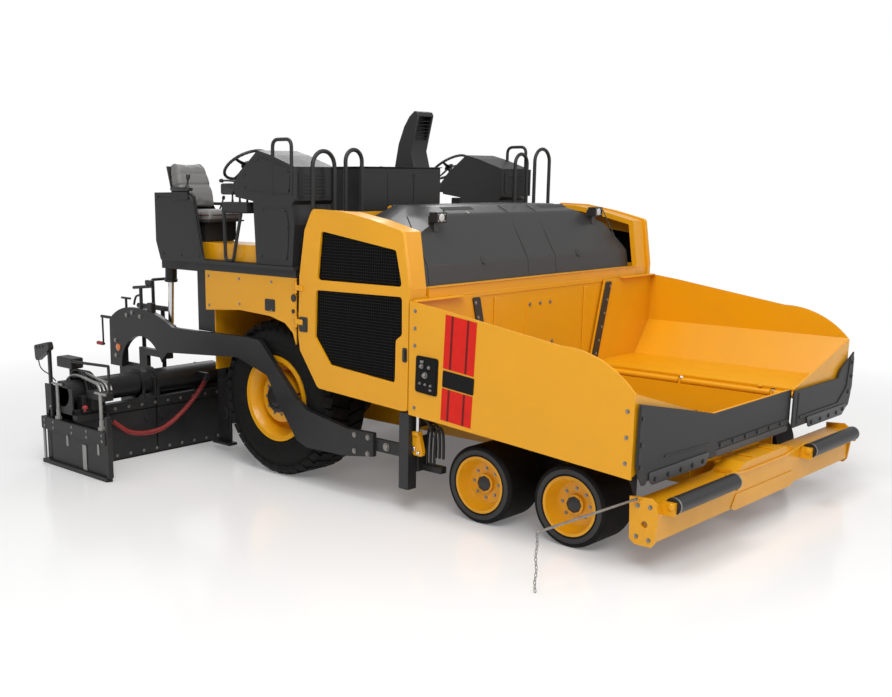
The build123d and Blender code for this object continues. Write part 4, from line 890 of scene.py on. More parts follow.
for name, coat, strips in (
    ("stripe_red_{}", stripe_red, ((0, 0.195), (0.265, 0.695), (0.765, 1))),
    ("stripe_dark_{}", stripe_dark, ((0.195, 0.265), (0.695, 0.765))),
):
    for stripe in both(name, "wing_{}", coat):
        for left, right in strips:
            for top, bottom in ((0, 0.505), (0.695, 1)):
                stripe.plate(band_of(STRIPE, left, right, top, bottom), "y", WING_Y, WING_Y + 0.0008, 0)
for badge in both("blank_plates_{}", "wing_{}", plate_black):
    badge.plate(band_of(STRIPE, 0.012, 1.02, 0.523, 0.68), "y", WING_Y, WING_Y + 0.004, 0.001, 0.008)
    badge.plate(PANEL, "y", WING_Y, WING_Y + 0.006, 0.002, 0.018)
    inset = band_of(PANEL, 0.08, 0.92, 0.06, 0.94)
    badge.plate(inset, "y", WING_Y + 0.006, WING_Y + 0.009, 0.001, 0.012)
for switches in both("panel_switches_{}", "wing_{}", steel):
    for x, z, radius, tall in SWITCHES:
        switches.turned((x, WING_Y + 0.009, z), OUT, (
            (0, radius), (tall * 0.4, radius), (tall * 0.45, radius * 0.72), (tall * 0.9, radius * 0.66),
            (tall, radius * 0.5),
        ), 18)
    switches.bars(0.001, (1.64, 1.67, 1.6345, 1.64, 1.128, 1.146), (1.722, 1.744, 1.6345, 1.64, 0.938, 0.952))
for lip in both("wing_lip_{}", "wing_{}", yellow):
    lip.plate(((1.527, 1.612), (1.527, 1.08), (1.59, 1.08), (1.59, 1.612)), "z", 1.5405, 1.5485, 0.002, 0.03)
    for x in (1.7, 2.4, 3.05):
        lip.turned((x, 0.64, 0.8485), UP, ((0, 0.016), (0.006, 0.016), (0.01, 0.01)), 14)
for seal in both("bulkhead_seal_{}", "wing_{}", seal_rubber):
    strip = ((0.69, 0.872), (0.775, 0.872), (0.948, 1.52), (0.864, 1.52))
    seal.plate(strip, "x", 1.5395, 1.55, 0.002, 0.012)
bolted(
    "wing_bolts_{}", "wing_{}", steel, 0.85,
    [*grid((1.58,), WING_Y, (0.8, 1.24, 1.36, 1.48)), *grid((3.265,), WING_Y, (0.7, 0.86, 1.02))],
    [(1.55, 0.745 + 0.173 * k / 5, 0.92 + 0.56 * k / 5) for k in range(6)],
)
bolted("bulkhead_plate_bolts", "tractor", steel, 1.0, forward=[
    (1.517, y, z) for y, z in (
        (-0.235, 1.09), (0.13, 1.09), (-0.19, 1.41), (0.085, 1.41), (-0.05, 1.09), (-0.05, 1.41),
    )
])
trim = Fabrication()
trim.bars(0.002, (1.5, 1.523, -1.402, 1.402, 1.6185, 1.6235), (1.5125, 1.5185, -1.39, 1.39, 1.52, 1.556))
for y in (-0.62, 0.6):
    trim.bars(0.003, (1.5125, 1.522, y - 0.03, y + 0.03, 0.86, 1.5))
trim.done("bulkhead_trim", "tractor", yellow)


# Flaps: thick rubber aprons held by steel clamp strips. The strips have carriage bolts, and
# the outer flaps have a folded edge band and a stiffening bead. Points are (y, z).
FLAP_X = 3.3395
FLAP_CLAMPS = {
    "right": ((1.47, 0.585), (1.47, 0.628), (0.715, 0.628), (0.715, 0.602), (0.76, 0.545), (1.43, 0.545)),
    "left": ((0.82, 0.628), (0.87, 0.545), (1.5, 0.545), (1.56, 0.585), (1.575, 0.628)),
}
FLAP_BANDS = {
    "right": (
        (1.606, 1.055), (1.606, 0.64), (1.56, 0.56), (1.5, 0.56), (1.5, 0.6), (1.56, 0.68), (1.566, 1.045),
    ),
    "left": (
        (0.7, 0.655), (1.4, 0.655), (1.56, 0.76), (1.6, 1.0), (1.662, 1.012), (1.668, 0.74),
        (1.59, 0.645), (1.5, 0.634), (0.7, 0.634),
    ),
}
FLAP_BEADS = {"right": ((1.29, 0.7), (0.716, 0.682)), "left": ((0.66, 0.835), (0.66, 0.6))}
CLAMP_BOLTS = {
    "right": ((1.4, 0.578), (1.24, 0.578), (1.08, 0.578), (0.93, 0.578), (0.79, 0.578)),
    "left": ((0.915, 0.578), (1.08, 0.578), (1.24, 0.578), (1.39, 0.578), (1.51, 0.592)),
}
BAND_BOLTS = {
    "right": ((1.586, 0.98), (1.586, 0.82), (1.586, 0.68)),
    "left": ((1.63, 0.95), (1.634, 0.84), (1.6, 0.72)),
}
clamp_steel = plain("bare_steel", "clamp_steel", (0.04, 0.041, 0.043), (0.055, 0.055, 0.057), 60.0, 0.4,
                    metal=0.3)
for strip in both("flap_clamp_{}", "wing_{}", clamp_steel):
    strip.plate(FLAP_CLAMPS[strip.name], "x", FLAP_X, FLAP_X + 0.009, 0.002, 0.012)
for edging in both("flap_edging_{}", "wing_{}", seal_rubber):
    edging.plate(FLAP_BANDS[edging.name], "x", FLAP_X, FLAP_X + 0.007, 0.003, 0.03)
    start, stop = [Vector(point) for point in FLAP_BEADS[edging.name]]
    edging.pipe([(FLAP_X, *start), (FLAP_X + 0.001, *start.lerp(stop, 0.5)), (FLAP_X, *stop)], 0.007)
for side, s in SIDES:
    fixings = [(FLAP_X + 0.009, s * y, z) for y, z in CLAMP_BOLTS[side]]
    fixings += [(FLAP_X + 0.007, s * y, z) for y, z in BAND_BOLTS[side]]
    bolted("flap_bolts_" + side, "wing_" + side, moulding, 1.1, forward=fixings)
clamp = Fabrication()
strip = ((-0.56, 0.575), (-0.56, 0.606), (0.52, 0.606), (0.56, 0.59), (0.56, 0.56), (-0.53, 0.56))
clamp.plate(strip, "x", 3.3105, 3.3185, 0.002, 0.01)
clamp.done("flap_clamp_centre", "tractor", clamp_steel)
bolted("flap_bolts_centre", "tractor", moulding, 1.0,
       forward=[(3.3185, -0.5 + 0.186 * k, 0.632) for k in range(6)])


# Push beam: bolt heads and a dished centre lip on the channel, caps and grease nipples at the
# rollers, and the bent guide rod with its short hanging chain at the right end.
ROLLER = (3.48, 0.43)
beam = Fabrication()
lip_line = (
    (-0.62, 0.462), (-0.3, 0.43), (0.3, 0.43), (0.62, 0.462), (0.62, 0.474), (0.3, 0.444), (-0.3, 0.444),
    (-0.62, 0.474),
)
beam.plate(lip_line, "x", 3.4205, 3.433, 0.003)
pad = ((-0.5, 0.215), (-0.44, 0.186), (0.44, 0.186), (0.5, 0.215), (0.44, 0.3), (-0.44, 0.3))
beam.plate(pad, "x", 3.4205, 3.4265, 0.002)
for y, low, high in (
    (-0.47, 0.4405, 0.47), (-0.16, 0.5005, 0.512), (0.16, 0.5005, 0.512), (0.47, 0.4405, 0.47),
):
    beam.bars(0.002, (3.29, 3.4, y - 0.006, y + 0.006, low, high))
for side, s in SIDES:
    for far, way in ((0.5755, -s), (1.424, s)):
        nipple = ((0, 0.026), (0.004, 0.026), (0.006, 0.02), (0.012, 0.016), (0.013, 0.008))
        beam.turned((ROLLER[0], s * far, ROLLER[1]), (0, way, 0), nipple, 16)
beam.done("push_beam_trim", "push_beam", yellow)
bolts.run("push_beam_bolts", "push_beam", steel, [
    ((x, s * 1.5065, z), facing((0, s, 0)), (0.9, 0.9, 0.9))
    for side, s in SIDES for x, z in ((3.3, 0.42), (3.385, 0.425), (3.3, 0.225), (3.385, 0.215))
])
for ends in both("roller_bands_{}", "push_roller_{}", steel):
    for y, way in ((0.6, 1), (1.4, -1)):
        collar = ((-0.004, 0.0546), (-0.004, 0.0555), (0.01, 0.0555), (0.01, 0.0546))
        ends.turned((ROLLER[0], y, ROLLER[1]), (0, way, 0), collar, 32, loop=True)

guide = Fabrication()
guide.pipe([(3.3, -1.533, 0.466), (3.098, -2.205, 0.378), (3.083, -2.25, 0.371), (3.083, -2.2505, 0.352)],
           0.008, 12, bend=0.02)
guide.turned((3.3, -1.531, 0.466), (0.3, 1, 0), ((0, 0.014), (0.018, 0.014), (0.02, 0.011)), 6)
guide.done("guide_rod_bent", "push_beam", steel, "guide_rod")
LINK_PITCH = 0.024
links = Repeat("chain_links", Wire=0.0026)
oval = links.add("GeometryNodeCurvePrimitiveCircle", {"Resolution": 14, "Radius": 0.0085})
oval = links.add("GeometryNodeTransform", {"Geometry": oval, "Scale": (0.86, 1.75, 1.0)})
wire = links.add("GeometryNodeCurvePrimitiveCircle", {"Resolution": 6, "Radius": links.given["Wire"]})
links.close(links.add("GeometryNodeCurveToMesh", {"Curve": oval, "Profile Curve": wire}))
links.run("guide_chain", "push_beam", steel, [
    ((3.083 + 0.004 * math.sin(k * 0.9), -2.25, 0.349 - k * LINK_PITCH),
     (math.pi / 2, 0, math.pi / 2 * (k % 2)), (1, 1, 1))
    for k in range(15)
], "guide_rod")


# Doors and skirts: welded wire mesh in the window openings, flush latches, the round ports
# and louvred vent in the skirts, and the bolts that hold the fender plates.
WIRE_PITCH = 0.022
WIRE_T = 0.0032
WIRE_Y = (1.6068, 1.6076)
SKIRT_Y = 1.6252
wire = plain("mesh_black", "door_wire", (0.006, 0.006, 0.006), (0.009, 0.009, 0.009), 60.0, 0.45, shine=0.2)


def crossings(outline, level, axis):
    """Where a straight line at a level enters and leaves an outline."""
    hits = []
    for a, b in zip(outline, outline[1:] + outline[:1]):
        if (a[axis] - level) * (b[axis] - level) < 0:
            hits.append(a[1 - axis] + (b[1 - axis] - a[1 - axis]) * (level - a[axis]) / (b[axis] - a[axis]))
    return min(hits), max(hits)


for side, s in SIDES:
    wires = []
    for outline in WINDOWS:
        for axis in (0, 1):
            low = min(point[axis] for point in outline)
            high = max(point[axis] for point in outline)
            for k in range(1, int((high - low) / WIRE_PITCH)):
                level = low + k * WIRE_PITCH
                start, stop = crossings(outline, level, axis)
                x, z = (level, (start + stop) / 2)[::1 - 2 * axis]
                size = (WIRE_T, WIRE_T, stop - start - 0.004)[::1 - 2 * axis]
                wires.append(((x, s * WIRE_Y[axis], z), (0, 0, 0), size))
    blocks.run("door_wires_" + side, "door_" + side, wire, wires)
for latch in both("door_latches_{}", "door_{}", moulding):
    for low, high, bottom, top in ((1.4655, 1.5085, 1.112, 1.214), (0.405, 0.498, 1.228, 1.342)):
        plate = ((low, bottom), (high, bottom), (high, top), (low, top))
        latch.plate(plate, "y", 1.6255, 1.629, 0.001, 0.012)
    paddle = ((0.418, 1.245), (0.485, 1.245), (0.485, 1.3), (0.418, 1.3))
    latch.plate(paddle, "y", 1.629, 1.633, 0.001, 0.01)
    latch.turned((0.452, 1.629, 1.322), OUT, ((0, 0.011), (0.004, 0.011), (0.005, 0.008)), 16)
    latch.bars(0.004, (1.479, 1.495, 1.629, 1.641, 1.122, 1.204))
for ports in both("skirt_ports_{}", "tractor", moulding):
    for x, z, radius in ((0.345, 1.478, 0.029), (0.34, 1.376, 0.017)):
        cup = (
            (0, radius), (0.004, radius), (0.006, radius * 0.86), (0.003, radius * 0.8),
            (0.003, radius * 0.2),
        )
        ports.turned((x, SKIRT_Y, z), OUT, cup, 28)
    vent = ((0.012, 1.356), (0.13, 1.356), (0.13, 1.45), (0.012, 1.45))
    ports.plate(vent, "y", SKIRT_Y, 1.6285, 0.001, 0.01)
    for k in range(5):
        z = 1.37 + k * 0.0165
        ports.bars(0.0015, (0.024, 0.118, 1.6285, 1.633, z, z + 0.007))
bolted("skirt_bolts_{}", "tractor", steel, 0.75, [
    (x, SKIRT_Y, z) for x, z in (
        (-0.69, 1.585), (-0.69, 1.345), (-0.3, 1.385), (0.09, 1.365), (-0.3, 1.585), (0.09, 1.585),
    )
])


# Hood: air slots in the moulded shell's brow and grip holes, drawn as flat dark patches of painted shade,
# joint beads between its panels, and two work lamps on the brow.
BROW = Vector((0.447, 0, 0.894))
# One dark finish for the joint beads and for the painted shade of the air slots and grip holes.
hood_bead_and_hole_shade = plain("black_paint", "hood_bead_and_hole_shade", (0.018, 0.018, 0.019), (0.025, 0.025, 0.025), 200.0, 0.5)
lamp_glass = plain("bare_steel", "lamp_glass", (0.52, 0.54, 0.55), (0.6, 0.61, 0.62), 60.0, 0.14, coat=0.6)
trim = Fabrication()
# The air slots are thin dark plates on the brow: painted shade where the openings are.
for low, high in ((-0.815, -0.445), (0.445, 0.815)):
    slot = ((1.098, low), (1.14, low), (1.14, high), (1.098, high))
    slot = [Vector((x, y, 2.17 - (x - 1.08) * 0.5)) for x, y in slot]
    trim.skin([[point - BROW * 0.002 for point in slot], [point + BROW * 0.0016 for point in slot]])
for y in (-1.3, -0.08, 0.3, 1.3):
    line = [(1.205, y, 2.104), (1.3, y, 1.941), (1.403, y, 1.7655), (1.4235, y, 1.63)]
    if abs(y) < 1:
        line = [(0.62, y, 2.1702), (1.05, y, 2.1702), (1.1, y, 2.1605), (1.19, y, 2.115)] + line[1:]
    trim.pipe(line, 0.0042, bend=0.05)
# The grip holes are thin dark discs on the slope: painted shade where the holes are.
for y in (-0.64, 0.64):
    trim.turned((1.397, y, 1.77), (0.863, 0, 0.505), ((0, 0.034), (0.004, 0.034), (0.005, 0.028)), 28)
trim.done("hood_trim", "hood", hood_bead_and_hole_shade)
stud = Fabrication()
stud.turned((1.185, -0.58, 2.1175), BROW, ((0, 0.016), (0.004, 0.016), (0.006, 0.01)), 20)
stud.done("hood_brow_stud", "hood", ("bare_steel", chrome[1]))
for housing in both("lamp_housing_{}", "hood", moulding):
    housing.bars(0.003, *[(1.246, 1.324, 0.996, 1.104, z, z + 0.008) for z in (2.126, 2.056)])
    housing.bars(0.002, *[(1.246, 1.326, y, y + 0.008, 2.056, 2.134) for y in (0.996, 1.096)])
    housing.bars(0.001, *[(1.236, 1.2495, 1.01, 1.09, 2.07 + k * 0.011, 2.074 + k * 0.011) for k in range(5)])
    housing.pipe([(1.245, 1.052, 2.05), (1.225, 1.075, 2.02), (1.215, 1.085, 1.985)], 0.005)
for lens in both("lamp_lens_{}", "hood", lamp_glass):
    glass = ((0, 0.0295), (0.003, 0.029), (0.006, 0.022), (0.007, 0.008))
    lens.turned((1.3205, 1.05, 2.095), FORWARD, glass, 28)
    for y, z in ((1.014, 2.118), (1.086, 2.118), (1.014, 2.072), (1.086, 2.072)):
        lens.turned((1.3205, y, z), FORWARD, ((0, 0.0045), (0.003, 0.0045), (0.004, 0.003)), 8)


# Operators' seats: grey vinyl cushions blown up over their shells, with sewn channels, a dark
# piping seam, and a folded steel shell behind the back rest.
SEAT_VOXEL = 0.01
SEAT_SWELL = 0.014
SEAT_PRESSURE = 4.0
SEAT_FRAMES = 20
vinyl = plain("seat_vinyl", "seat_vinyl", (0.15, 0.146, 0.142), (0.195, 0.19, 0.184), 900.0, 0.55,
              bump=0.5, shine=0.4)
piping = plain("cord_red", "seat_piping", (0.055, 0.006, 0.006), (0.075, 0.008, 0.008), 200.0, 0.5)


def cushion(name, outline, half, channels):
    """A cushion from the outline of its side: voxels, then cloth under pressure, then its sewn
    channels, each given as a point, the way across it, its width and its depth."""
    form = Fabrication()
    form.plate(outline, "y", -half, half, 0.012, segments=2)
    pad = bpy.data.objects.new(name, form.mesh(name))
    bpy.context.scene.collection.objects.link(pad)
    voxels = pad.modifiers.new("voxels", "REMESH")
    voxels.mode = "VOXEL"
    voxels.voxel_size = SEAT_VOXEL
    mesh = bpy.data.meshes.new_from_object(pad.evaluated_get(bpy.context.evaluated_depsgraph_get()))
    pad.modifiers.clear()
    pad.data = mesh
    start = [vertex.co.copy() for vertex in mesh.vertices]
    cloth = pad.modifiers.new("cloth", "CLOTH")
    cloth.settings.use_pressure = True
    cloth.settings.uniform_pressure_force = SEAT_PRESSURE
    cloth.settings.effector_weights.gravity = 0.0
    scene = bpy.context.scene
    for number in range(1, SEAT_FRAMES + 1):
        scene.frame_set(number)
    ready = pad.evaluated_get(bpy.context.evaluated_depsgraph_get())
    swollen = [vertex.co.copy() for vertex in ready.data.vertices]
    pad.modifiers.clear()
    scene.frame_set(1)
    for vertex, first, last in zip(mesh.vertices, start, swollen):
        move = last - first
        vertex.co = first + move * min(1.0, SEAT_SWELL / max(move.length, 1e-6))
    for vertex in mesh.vertices:
        for point, along, width, depth in channels:
            gap = (vertex.co - Vector(point)).dot(Vector(along).normalized())
            vertex.co -= vertex.normal * depth * math.exp(-(gap / width) ** 2)
    smooth = pad.modifiers.new("subdivision", "SUBSURF")
    smooth.levels = smooth.render_levels = 1
    mesh = bpy.data.meshes.new_from_object(pad.evaluated_get(bpy.context.evaluated_depsgraph_get()))
    bpy.data.objects.remove(pad)
    mesh.name = name
    return mesh


SEAT_SIDE = (
    (-1.106, 2.034), (-0.672, 2.034), (-0.652, 2.052), (-0.652, 2.09), (-0.68, 2.108), (-1.09, 2.104),
    (-1.106, 2.09),
)
BACK_SIDE = (
    (-1.094, 2.118), (-1.03, 2.134), (-1.052, 2.25), (-1.13, 2.468), (-1.16, 2.494), (-1.196, 2.5),
    (-1.226, 2.48), (-1.16, 2.25),
)
LEANING = (-0.29, 0, 0.957)
pads = {
    "seat": cushion("seat_pad", SEAT_SIDE, 0.188, [
        ((-0.8, 0, 0), FORWARD, 0.012, 0.006), ((-0.95, 0, 0), FORWARD, 0.012, 0.006),
    ]),
    "back": cushion("back_pad", BACK_SIDE, 0.186, [
        ((-1.13, 0, 2.3), LEANING, 0.012, 0.008), ((-1.13, 0, 2.4), LEANING, 0.01, 0.004),
    ]),
}
for vertex in pads["back"].vertices:
    rise = max(0.0, vertex.co.z - 2.3) / 0.2
    vertex.co.y *= 1.0 - 0.22 * rise ** 2
for side, middle in STATION_MIDDLE.items():
    for pad_name, pad in pads.items():
        mesh = pad.copy()
        mesh.transform(Matrix.Translation((AXLE_X, middle, 0)))
        piece = place(mesh, "%s_cushion_%s" % (pad_name, side), "station_" + side, vinyl, 80)
        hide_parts("seat_" + side)
    seam = Fabrication()
    loop = ((-1.098, -0.18, 2.075), (-0.668, -0.18, 2.078), (-0.668, 0.18, 2.078), (-1.098, 0.18, 2.075))
    loop = [(x, middle + y, z) for x, y, z in loop]
    seam.skin(rings_along(rounded([*loop, loop[0]], 0.03), 0.005, 8)[:-1], loop=True)
    seam.done("seat_piping_" + side, "station_" + side, piping, "seat_" + side)
for seat in both("seat_shell_{}", "station_{}", plastic, "seat_{}", STATION_MIDDLE):
    back = ((-1.1, 2.06), (-1.086, 2.052), (-1.176, 2.24), (-1.244, 2.47), (-1.258, 2.474), (-1.19, 2.24))
    seat.plate(back, "y", -0.165, 0.165, 0.004)
    seat.bars(0.004, (-1.118, -0.662, -0.19, 0.19, 2.0205, 2.0335))
    for edge in (-1, 1):
        hinge = ((-1.17, 2.02), (-1.05, 2.02), (-1.06, 2.12), (-1.11, 2.18), (-1.185, 2.19))
        seat.plate(hinge, "y", edge * 0.197, edge * 0.204, 0.003)
        pivot = ((0, 0.026), (0.01, 0.026), (0.014, 0.018))
        seat.turned((-1.1, edge * 0.204, 2.105), (0, edge, 0), pivot, 20)
    seat.pipe([(-1.02, -0.205, 2.1), (-1.02, -0.225, 2.12), (-0.98, -0.225, 2.2)], 0.007)
    knob = ((0, 0.01), (0.008, 0.014), (0.03, 0.012), (0.034, 0.006))
    seat.turned((-0.98, -0.225, 2.195), (0.3, 0, 1), knob, 14)


# Steering wheels: a moulded rim with finger grips on three flat spokes, a horn pad, and a
# spinner knob. They lean back on their columns.
HELM_TILT = math.radians(35)
HELM_AXIS = Vector((-math.sin(HELM_TILT), 0, math.cos(HELM_TILT)))
HELM_R = 0.19
HELM_GRIPS = 64
SPOKE = ((0.035, 0.017, 0.008), (0.11, 0.013, 0.01), (0.182, 0.01, 0.003))  # how far out, half width, sink
for side, middle in STATION_MIDDLE.items():
    heart = Vector((-0.395, middle, 2.47)) + HELM_AXIS * 0.012
    level = Vector(OUT)
    uphill = HELM_AXIS.cross(level)
    wheel = Fabrication()
    wheel.skin([
        ring(point, (point - heart).normalized(), HELM_AXIS, 0.0132 - (0.0016 if k % 2 else 0.0), 10)
        for k, point in enumerate(ring(heart, level, uphill, HELM_R, HELM_GRIPS))
    ], loop=True)
    for turn in (math.radians(90), math.radians(205), math.radians(335)):
        way = level * math.cos(turn) + uphill * math.sin(turn)
        aside = HELM_AXIS.cross(way)
        spoke = []
        for far, half, sink in SPOKE:
            low = heart + way * far - HELM_AXIS * sink
            high = low + HELM_AXIS * 0.006
            spoke.append([low - aside * half, low + aside * half, high + aside * half, high - aside * half])
        wheel.skin(spoke)
    horn = ((0, 0.03), (0.004, 0.044), (0.018, 0.046), (0.026, 0.038), (0.028, 0.012))
    wheel.turned(heart - HELM_AXIS * 0.014, HELM_AXIS, horn, 28)
    spinner = (
        (0, 0.016), (0.012, 0.01), (0.022, 0.01), (0.03, 0.022), (0.042, 0.024), (0.052, 0.016),
        (0.054, 0.005),
    )
    knob = heart + (level * math.cos(0.6) + uphill * math.sin(0.6)) * HELM_R
    wheel.turned(knob, HELM_AXIS, spinner, 18)
    wheel.done("steering_wheel_" + side, "helm_" + side, plastic, "helm_" + side)


# Stations: consoles of folded plate with bolted covers, gauges and rocker switches that carry
# no words, padded arm rests with a joystick, and rubber mats on the trays.
CONSOLE_Y = 0.2052
SCREEN_Y = 0.2252
BOARD, BOARD_UP, BOARD_FACE = Vector((-0.14, 0, 2.503)), Vector((0.8, 0, 0.6)), Vector((-0.6, 0, 0.8))
DIALS = [  # across, up, radius, thickness, sides
    (-0.12, 0.03, 0.034, 0.01, 24), (-0.04, 0.036, 0.026, 0.01, 24),
    (0.04, 0.036, 0.026, 0.01, 24), (0.12, 0.03, 0.034, 0.01, 24),
    *[(-0.135 + 0.045 * k, -0.048, 0.011, 0.012, 12) for k in range(7)],
]
HATCH = ((-0.015, 1.76), (0.3, 1.76), (0.322, 2.02), (0.29, 2.15), (0.02, 2.15), (-0.015, 2.1))
UPPER_HATCH = ((-0.21, 2.29), (0.33, 2.26), (0.34, 2.44), (0.095, 2.51), (-0.03, 2.54), (-0.2, 2.41))
HATCH_BOLTS = (
    (0.005, 1.78), (0.285, 1.78), (0.305, 2.01), (0.275, 2.135), (0.03, 2.135), (-0.185, 2.305),
    (0.315, 2.285), (0.315, 2.425), (-0.025, 2.515), (-0.18, 2.405),
)
SCREEN_BOLTS = ((-1.25, 1.745), (-1, 1.745), (-0.76, 1.745), (-1.31, 2.215), (-0.9, 2.215))
for cover in both("console_covers_{}", "station_{}", charcoal, middles=STATION_MIDDLE):
    cover.plate(HATCH, "y", CONSOLE_Y, CONSOLE_Y + 0.004, 0.0015, 0.02)
    cover.plate(UPPER_HATCH, "y", CONSOLE_Y, CONSOLE_Y + 0.004, 0.0015, 0.025)
    nose = ((-0.165, 2.235), (0.165, 2.235), (0.165, 2.435), (-0.165, 2.435))
    cover.plate(nose, "x", 0.3852, 0.39, 0.0015, 0.02)
    cover.bars(0.002, *[(0.39, 0.3945, -0.11, 0.11, 2.262 + 0.026 * k, 2.272 + 0.026 * k) for k in range(6)])
    cover.bars(0.001, (-1.286, 0.3, -0.205, 0.205, 1.7155, 1.7195))
    cover.bars(0.004, *[(0.3852, 0.405, y - 0.012, y + 0.012, 2.215, 2.455) for y in (-0.205, 0.205)])
bolted(
    "station_bolts_{}", "station_{}", moulding, 0.7,
    [(x, CONSOLE_Y + 0.004, z) for x, z in HATCH_BOLTS] + [(x, SCREEN_Y, z) for x, z in SCREEN_BOLTS],
    middles=STATION_MIDDLE,
)
for fittings in both("station_fittings_{}", "station_{}", plastic, middles=STATION_MIDDLE):
    for across, up, radius, thick, sides in DIALS:
        base = BOARD + BOARD_UP * up + Vector((0, across, 0)) + BOARD_FACE * 0.002
        fittings.turned(base, BOARD_FACE, ((0, radius), (thick * 0.7, radius), (thick, radius * 0.88)), sides)
    fittings.pipe([(-0.34, 0.15, 2.345), (-0.42, 0.16, 2.36), (-0.5, 0.165, 2.355)], 0.008)
    stalk = ((0, 0.01), (0.01, 0.016), (0.035, 0.014), (0.042, 0.006))
    fittings.turned((-0.5, 0.165, 2.355), (-1, 0, 0), stalk, 14)
    fittings.bars(0.016, (-0.56, -0.29, -0.15, 0.15, 2.245, 2.335), segments=2)
    fittings.bars(0.002, (-0.47, -0.16, 0.125, 0.215, 2.104, 2.1095))
    fittings.bars(0.01, (-1.1, -0.85, 0.196, 0.25, 2.2705, 2.302), segments=2)
    fittings.turned((-0.895, 0.222, 2.3), (0.15, 0, 1), (
        (0, 0.024), (0.012, 0.018), (0.02, 0.009), (0.06, 0.008), (0.07, 0.017), (0.1, 0.019), (0.112, 0.01),
    ), 16)
    lever = ((0, 0.01), (0.02, 0.008), (0.055, 0.007), (0.06, 0.014), (0.08, 0.014), (0.086, 0.007))
    for k in range(3):
        fittings.turned((-0.2 - k * 0.09, 0.17, 2.1905), UP, lever, 12)
for rail in both("station_rails_{}", "station_{}", charcoal, middles=STATION_MIDDLE):
    y = SCREEN_Y + 0.004
    rail.pipe([(-1.325, y, 2.235), (-0.86, y, 2.235), (-0.825, y, 2.2), (-0.72, y, 1.76)], 0.008, bend=0.05)
    rail.pipe([
        (-1.3, -0.19, 1.72), (-1.3, -0.19, 2.05), (-1.15, -0.19, 2.16), (-0.86, -0.2, 2.16),
        (-0.8, -0.2, 2.05), (-0.8, -0.19, 1.86),
    ], 0.013, 10, bend=0.07)


# Deck and cabinet: flange feet under the hand rails, anti-slip studs on the deck, and the
# cabinet's doors with their latches and the slats in the fume stack's mouth.
trim = Fabrication()
foot = ((0, 0.04), (0.007, 0.04), (0.009, 0.022), (0.02, 0.0175))
for y in (-1.53, -1.3, -1.18, -1, 1, 1.18, 1.3, 1.53):
    trim.turned((0.462, y, 1.69), UP, foot, 20)
for low, high in ((-0.842, -0.532), (-0.524, -0.214)):
    trim.bars(0.003, (0.3002, 0.3045, low, high, 1.735, 2.42), (-0.1045, -0.1002, low, high, 1.735, 2.42))
    trim.turned((0.3045, low + 0.28, 2.08), FORWARD, ((0, 0.014), (0.01, 0.014), (0.012, 0.01)), 16)
trim.bars(0.003, (0.3002, 0.306, -0.2, 0.14, 1.735, 2.42))
trim.bars(0.004, (-0.112, 0.312, -0.862, 0.162, 2.46, 2.468))
for k in range(6):
    z = 2.705 + 0.027 * k
    face = 0.244 + (z - 2.6) * 0.279
    slat = ((face - 0.04, z + 0.012), (face, z), (face, z + 0.003), (face - 0.04, z + 0.015))
    trim.plate(slat, "y", -0.168, -0.012, 0)
trim.done("deck_trim", "tractor", charcoal)
bolted("cabinet_bolts", "tractor", moulding, 0.6, forward=[
    *[(0.3045, y, z) for y in (-0.83, -0.22) for z in (1.76, 2.08, 2.4)],
    *[(0.306, y, z) for y in (-0.185, 0.125) for z in (1.76, 2.4)],
])
studs = []
for i in range(22):
    for j in range(54):
        x, y = -0.925 + 0.058 * i, -1.565 + 0.059 * j
        if 0.31 < x or not (-0.12 < x < 0.32 and -0.87 < y < 0.17):
            turn = math.pi / 4 * (1 if (i + j) % 2 else -1)
            studs.append(((x, y, 1.6904), (0, 0, turn), (0.026, 0.007, 0.0022)))
blocks.run("deck_studs", "tractor", charcoal, studs)


# Station boxes, hoops and grab loops, with the auger bearings and guards behind the wheels.
# A guard is a strip bent round the auger's end.
GUARD = ((0.128, 1.238), (0.128, 1.338), (0.116, 1.338), (0.116, 1.238))  # radius, y
for box in both("station_base_{}", "station_{}", yellow, middles=STATION_MIDDLE):
    box.bars(0.006, (-1.12, -0.062, -0.151, 0.151, 1.7155, 1.855))
for loops in both("station_loops_{}", "station_{}", charcoal, middles=STATION_MIDDLE):
    y = 0.2
    loops.pipe([(-0.455, y, 2.15), (-0.445, y, 1.725), (-0.35, y, 1.725), (-0.23, y, 2.15)], 0.014, 12, 0.04)
    loops.pipe([(0.14, y, 2.25), (0.14, y, 2.66), (0.35, y, 2.66), (0.35, y, 2.25)], 0.014, 12, 0.06)
    loops.bars(0.006, (-0.47, -0.16, 0.125, 0.215, 2.108, 2.19), (-1.09, -0.88, 0.207, 0.239, 2.2, 2.27))
for bearing in both("auger_bearing_{}", "tractor", black):
    bearing.bars(
        0.003, (-0.94, -0.7, 0.63, 1.262, 0.69, 0.74), (-1.06, -0.89, 1.238, 1.262, 0.06, 0.75),
        (-1.06, -0.83, 1.238, 1.332, 0.06, 0.084), (-1.01, -0.83, 1.238, 1.332, 0.878, 0.905),
    )
    bearing.skin([
        [bearing.spot(-0.93 + r * math.cos(turn), y, 0.76 + r * math.sin(turn)) for r, y in GUARD]
        for turn in [math.radians(-100 + 10 * k) for k in range(21)]
    ])
    flange = ((0, 0.028), (0.046, 0.028), (0.048, 0.06), (0.078, 0.06), (0.084, 0.052))
    bearing.turned((-0.975, 1.19, 0.335), OUT, flange, 28)


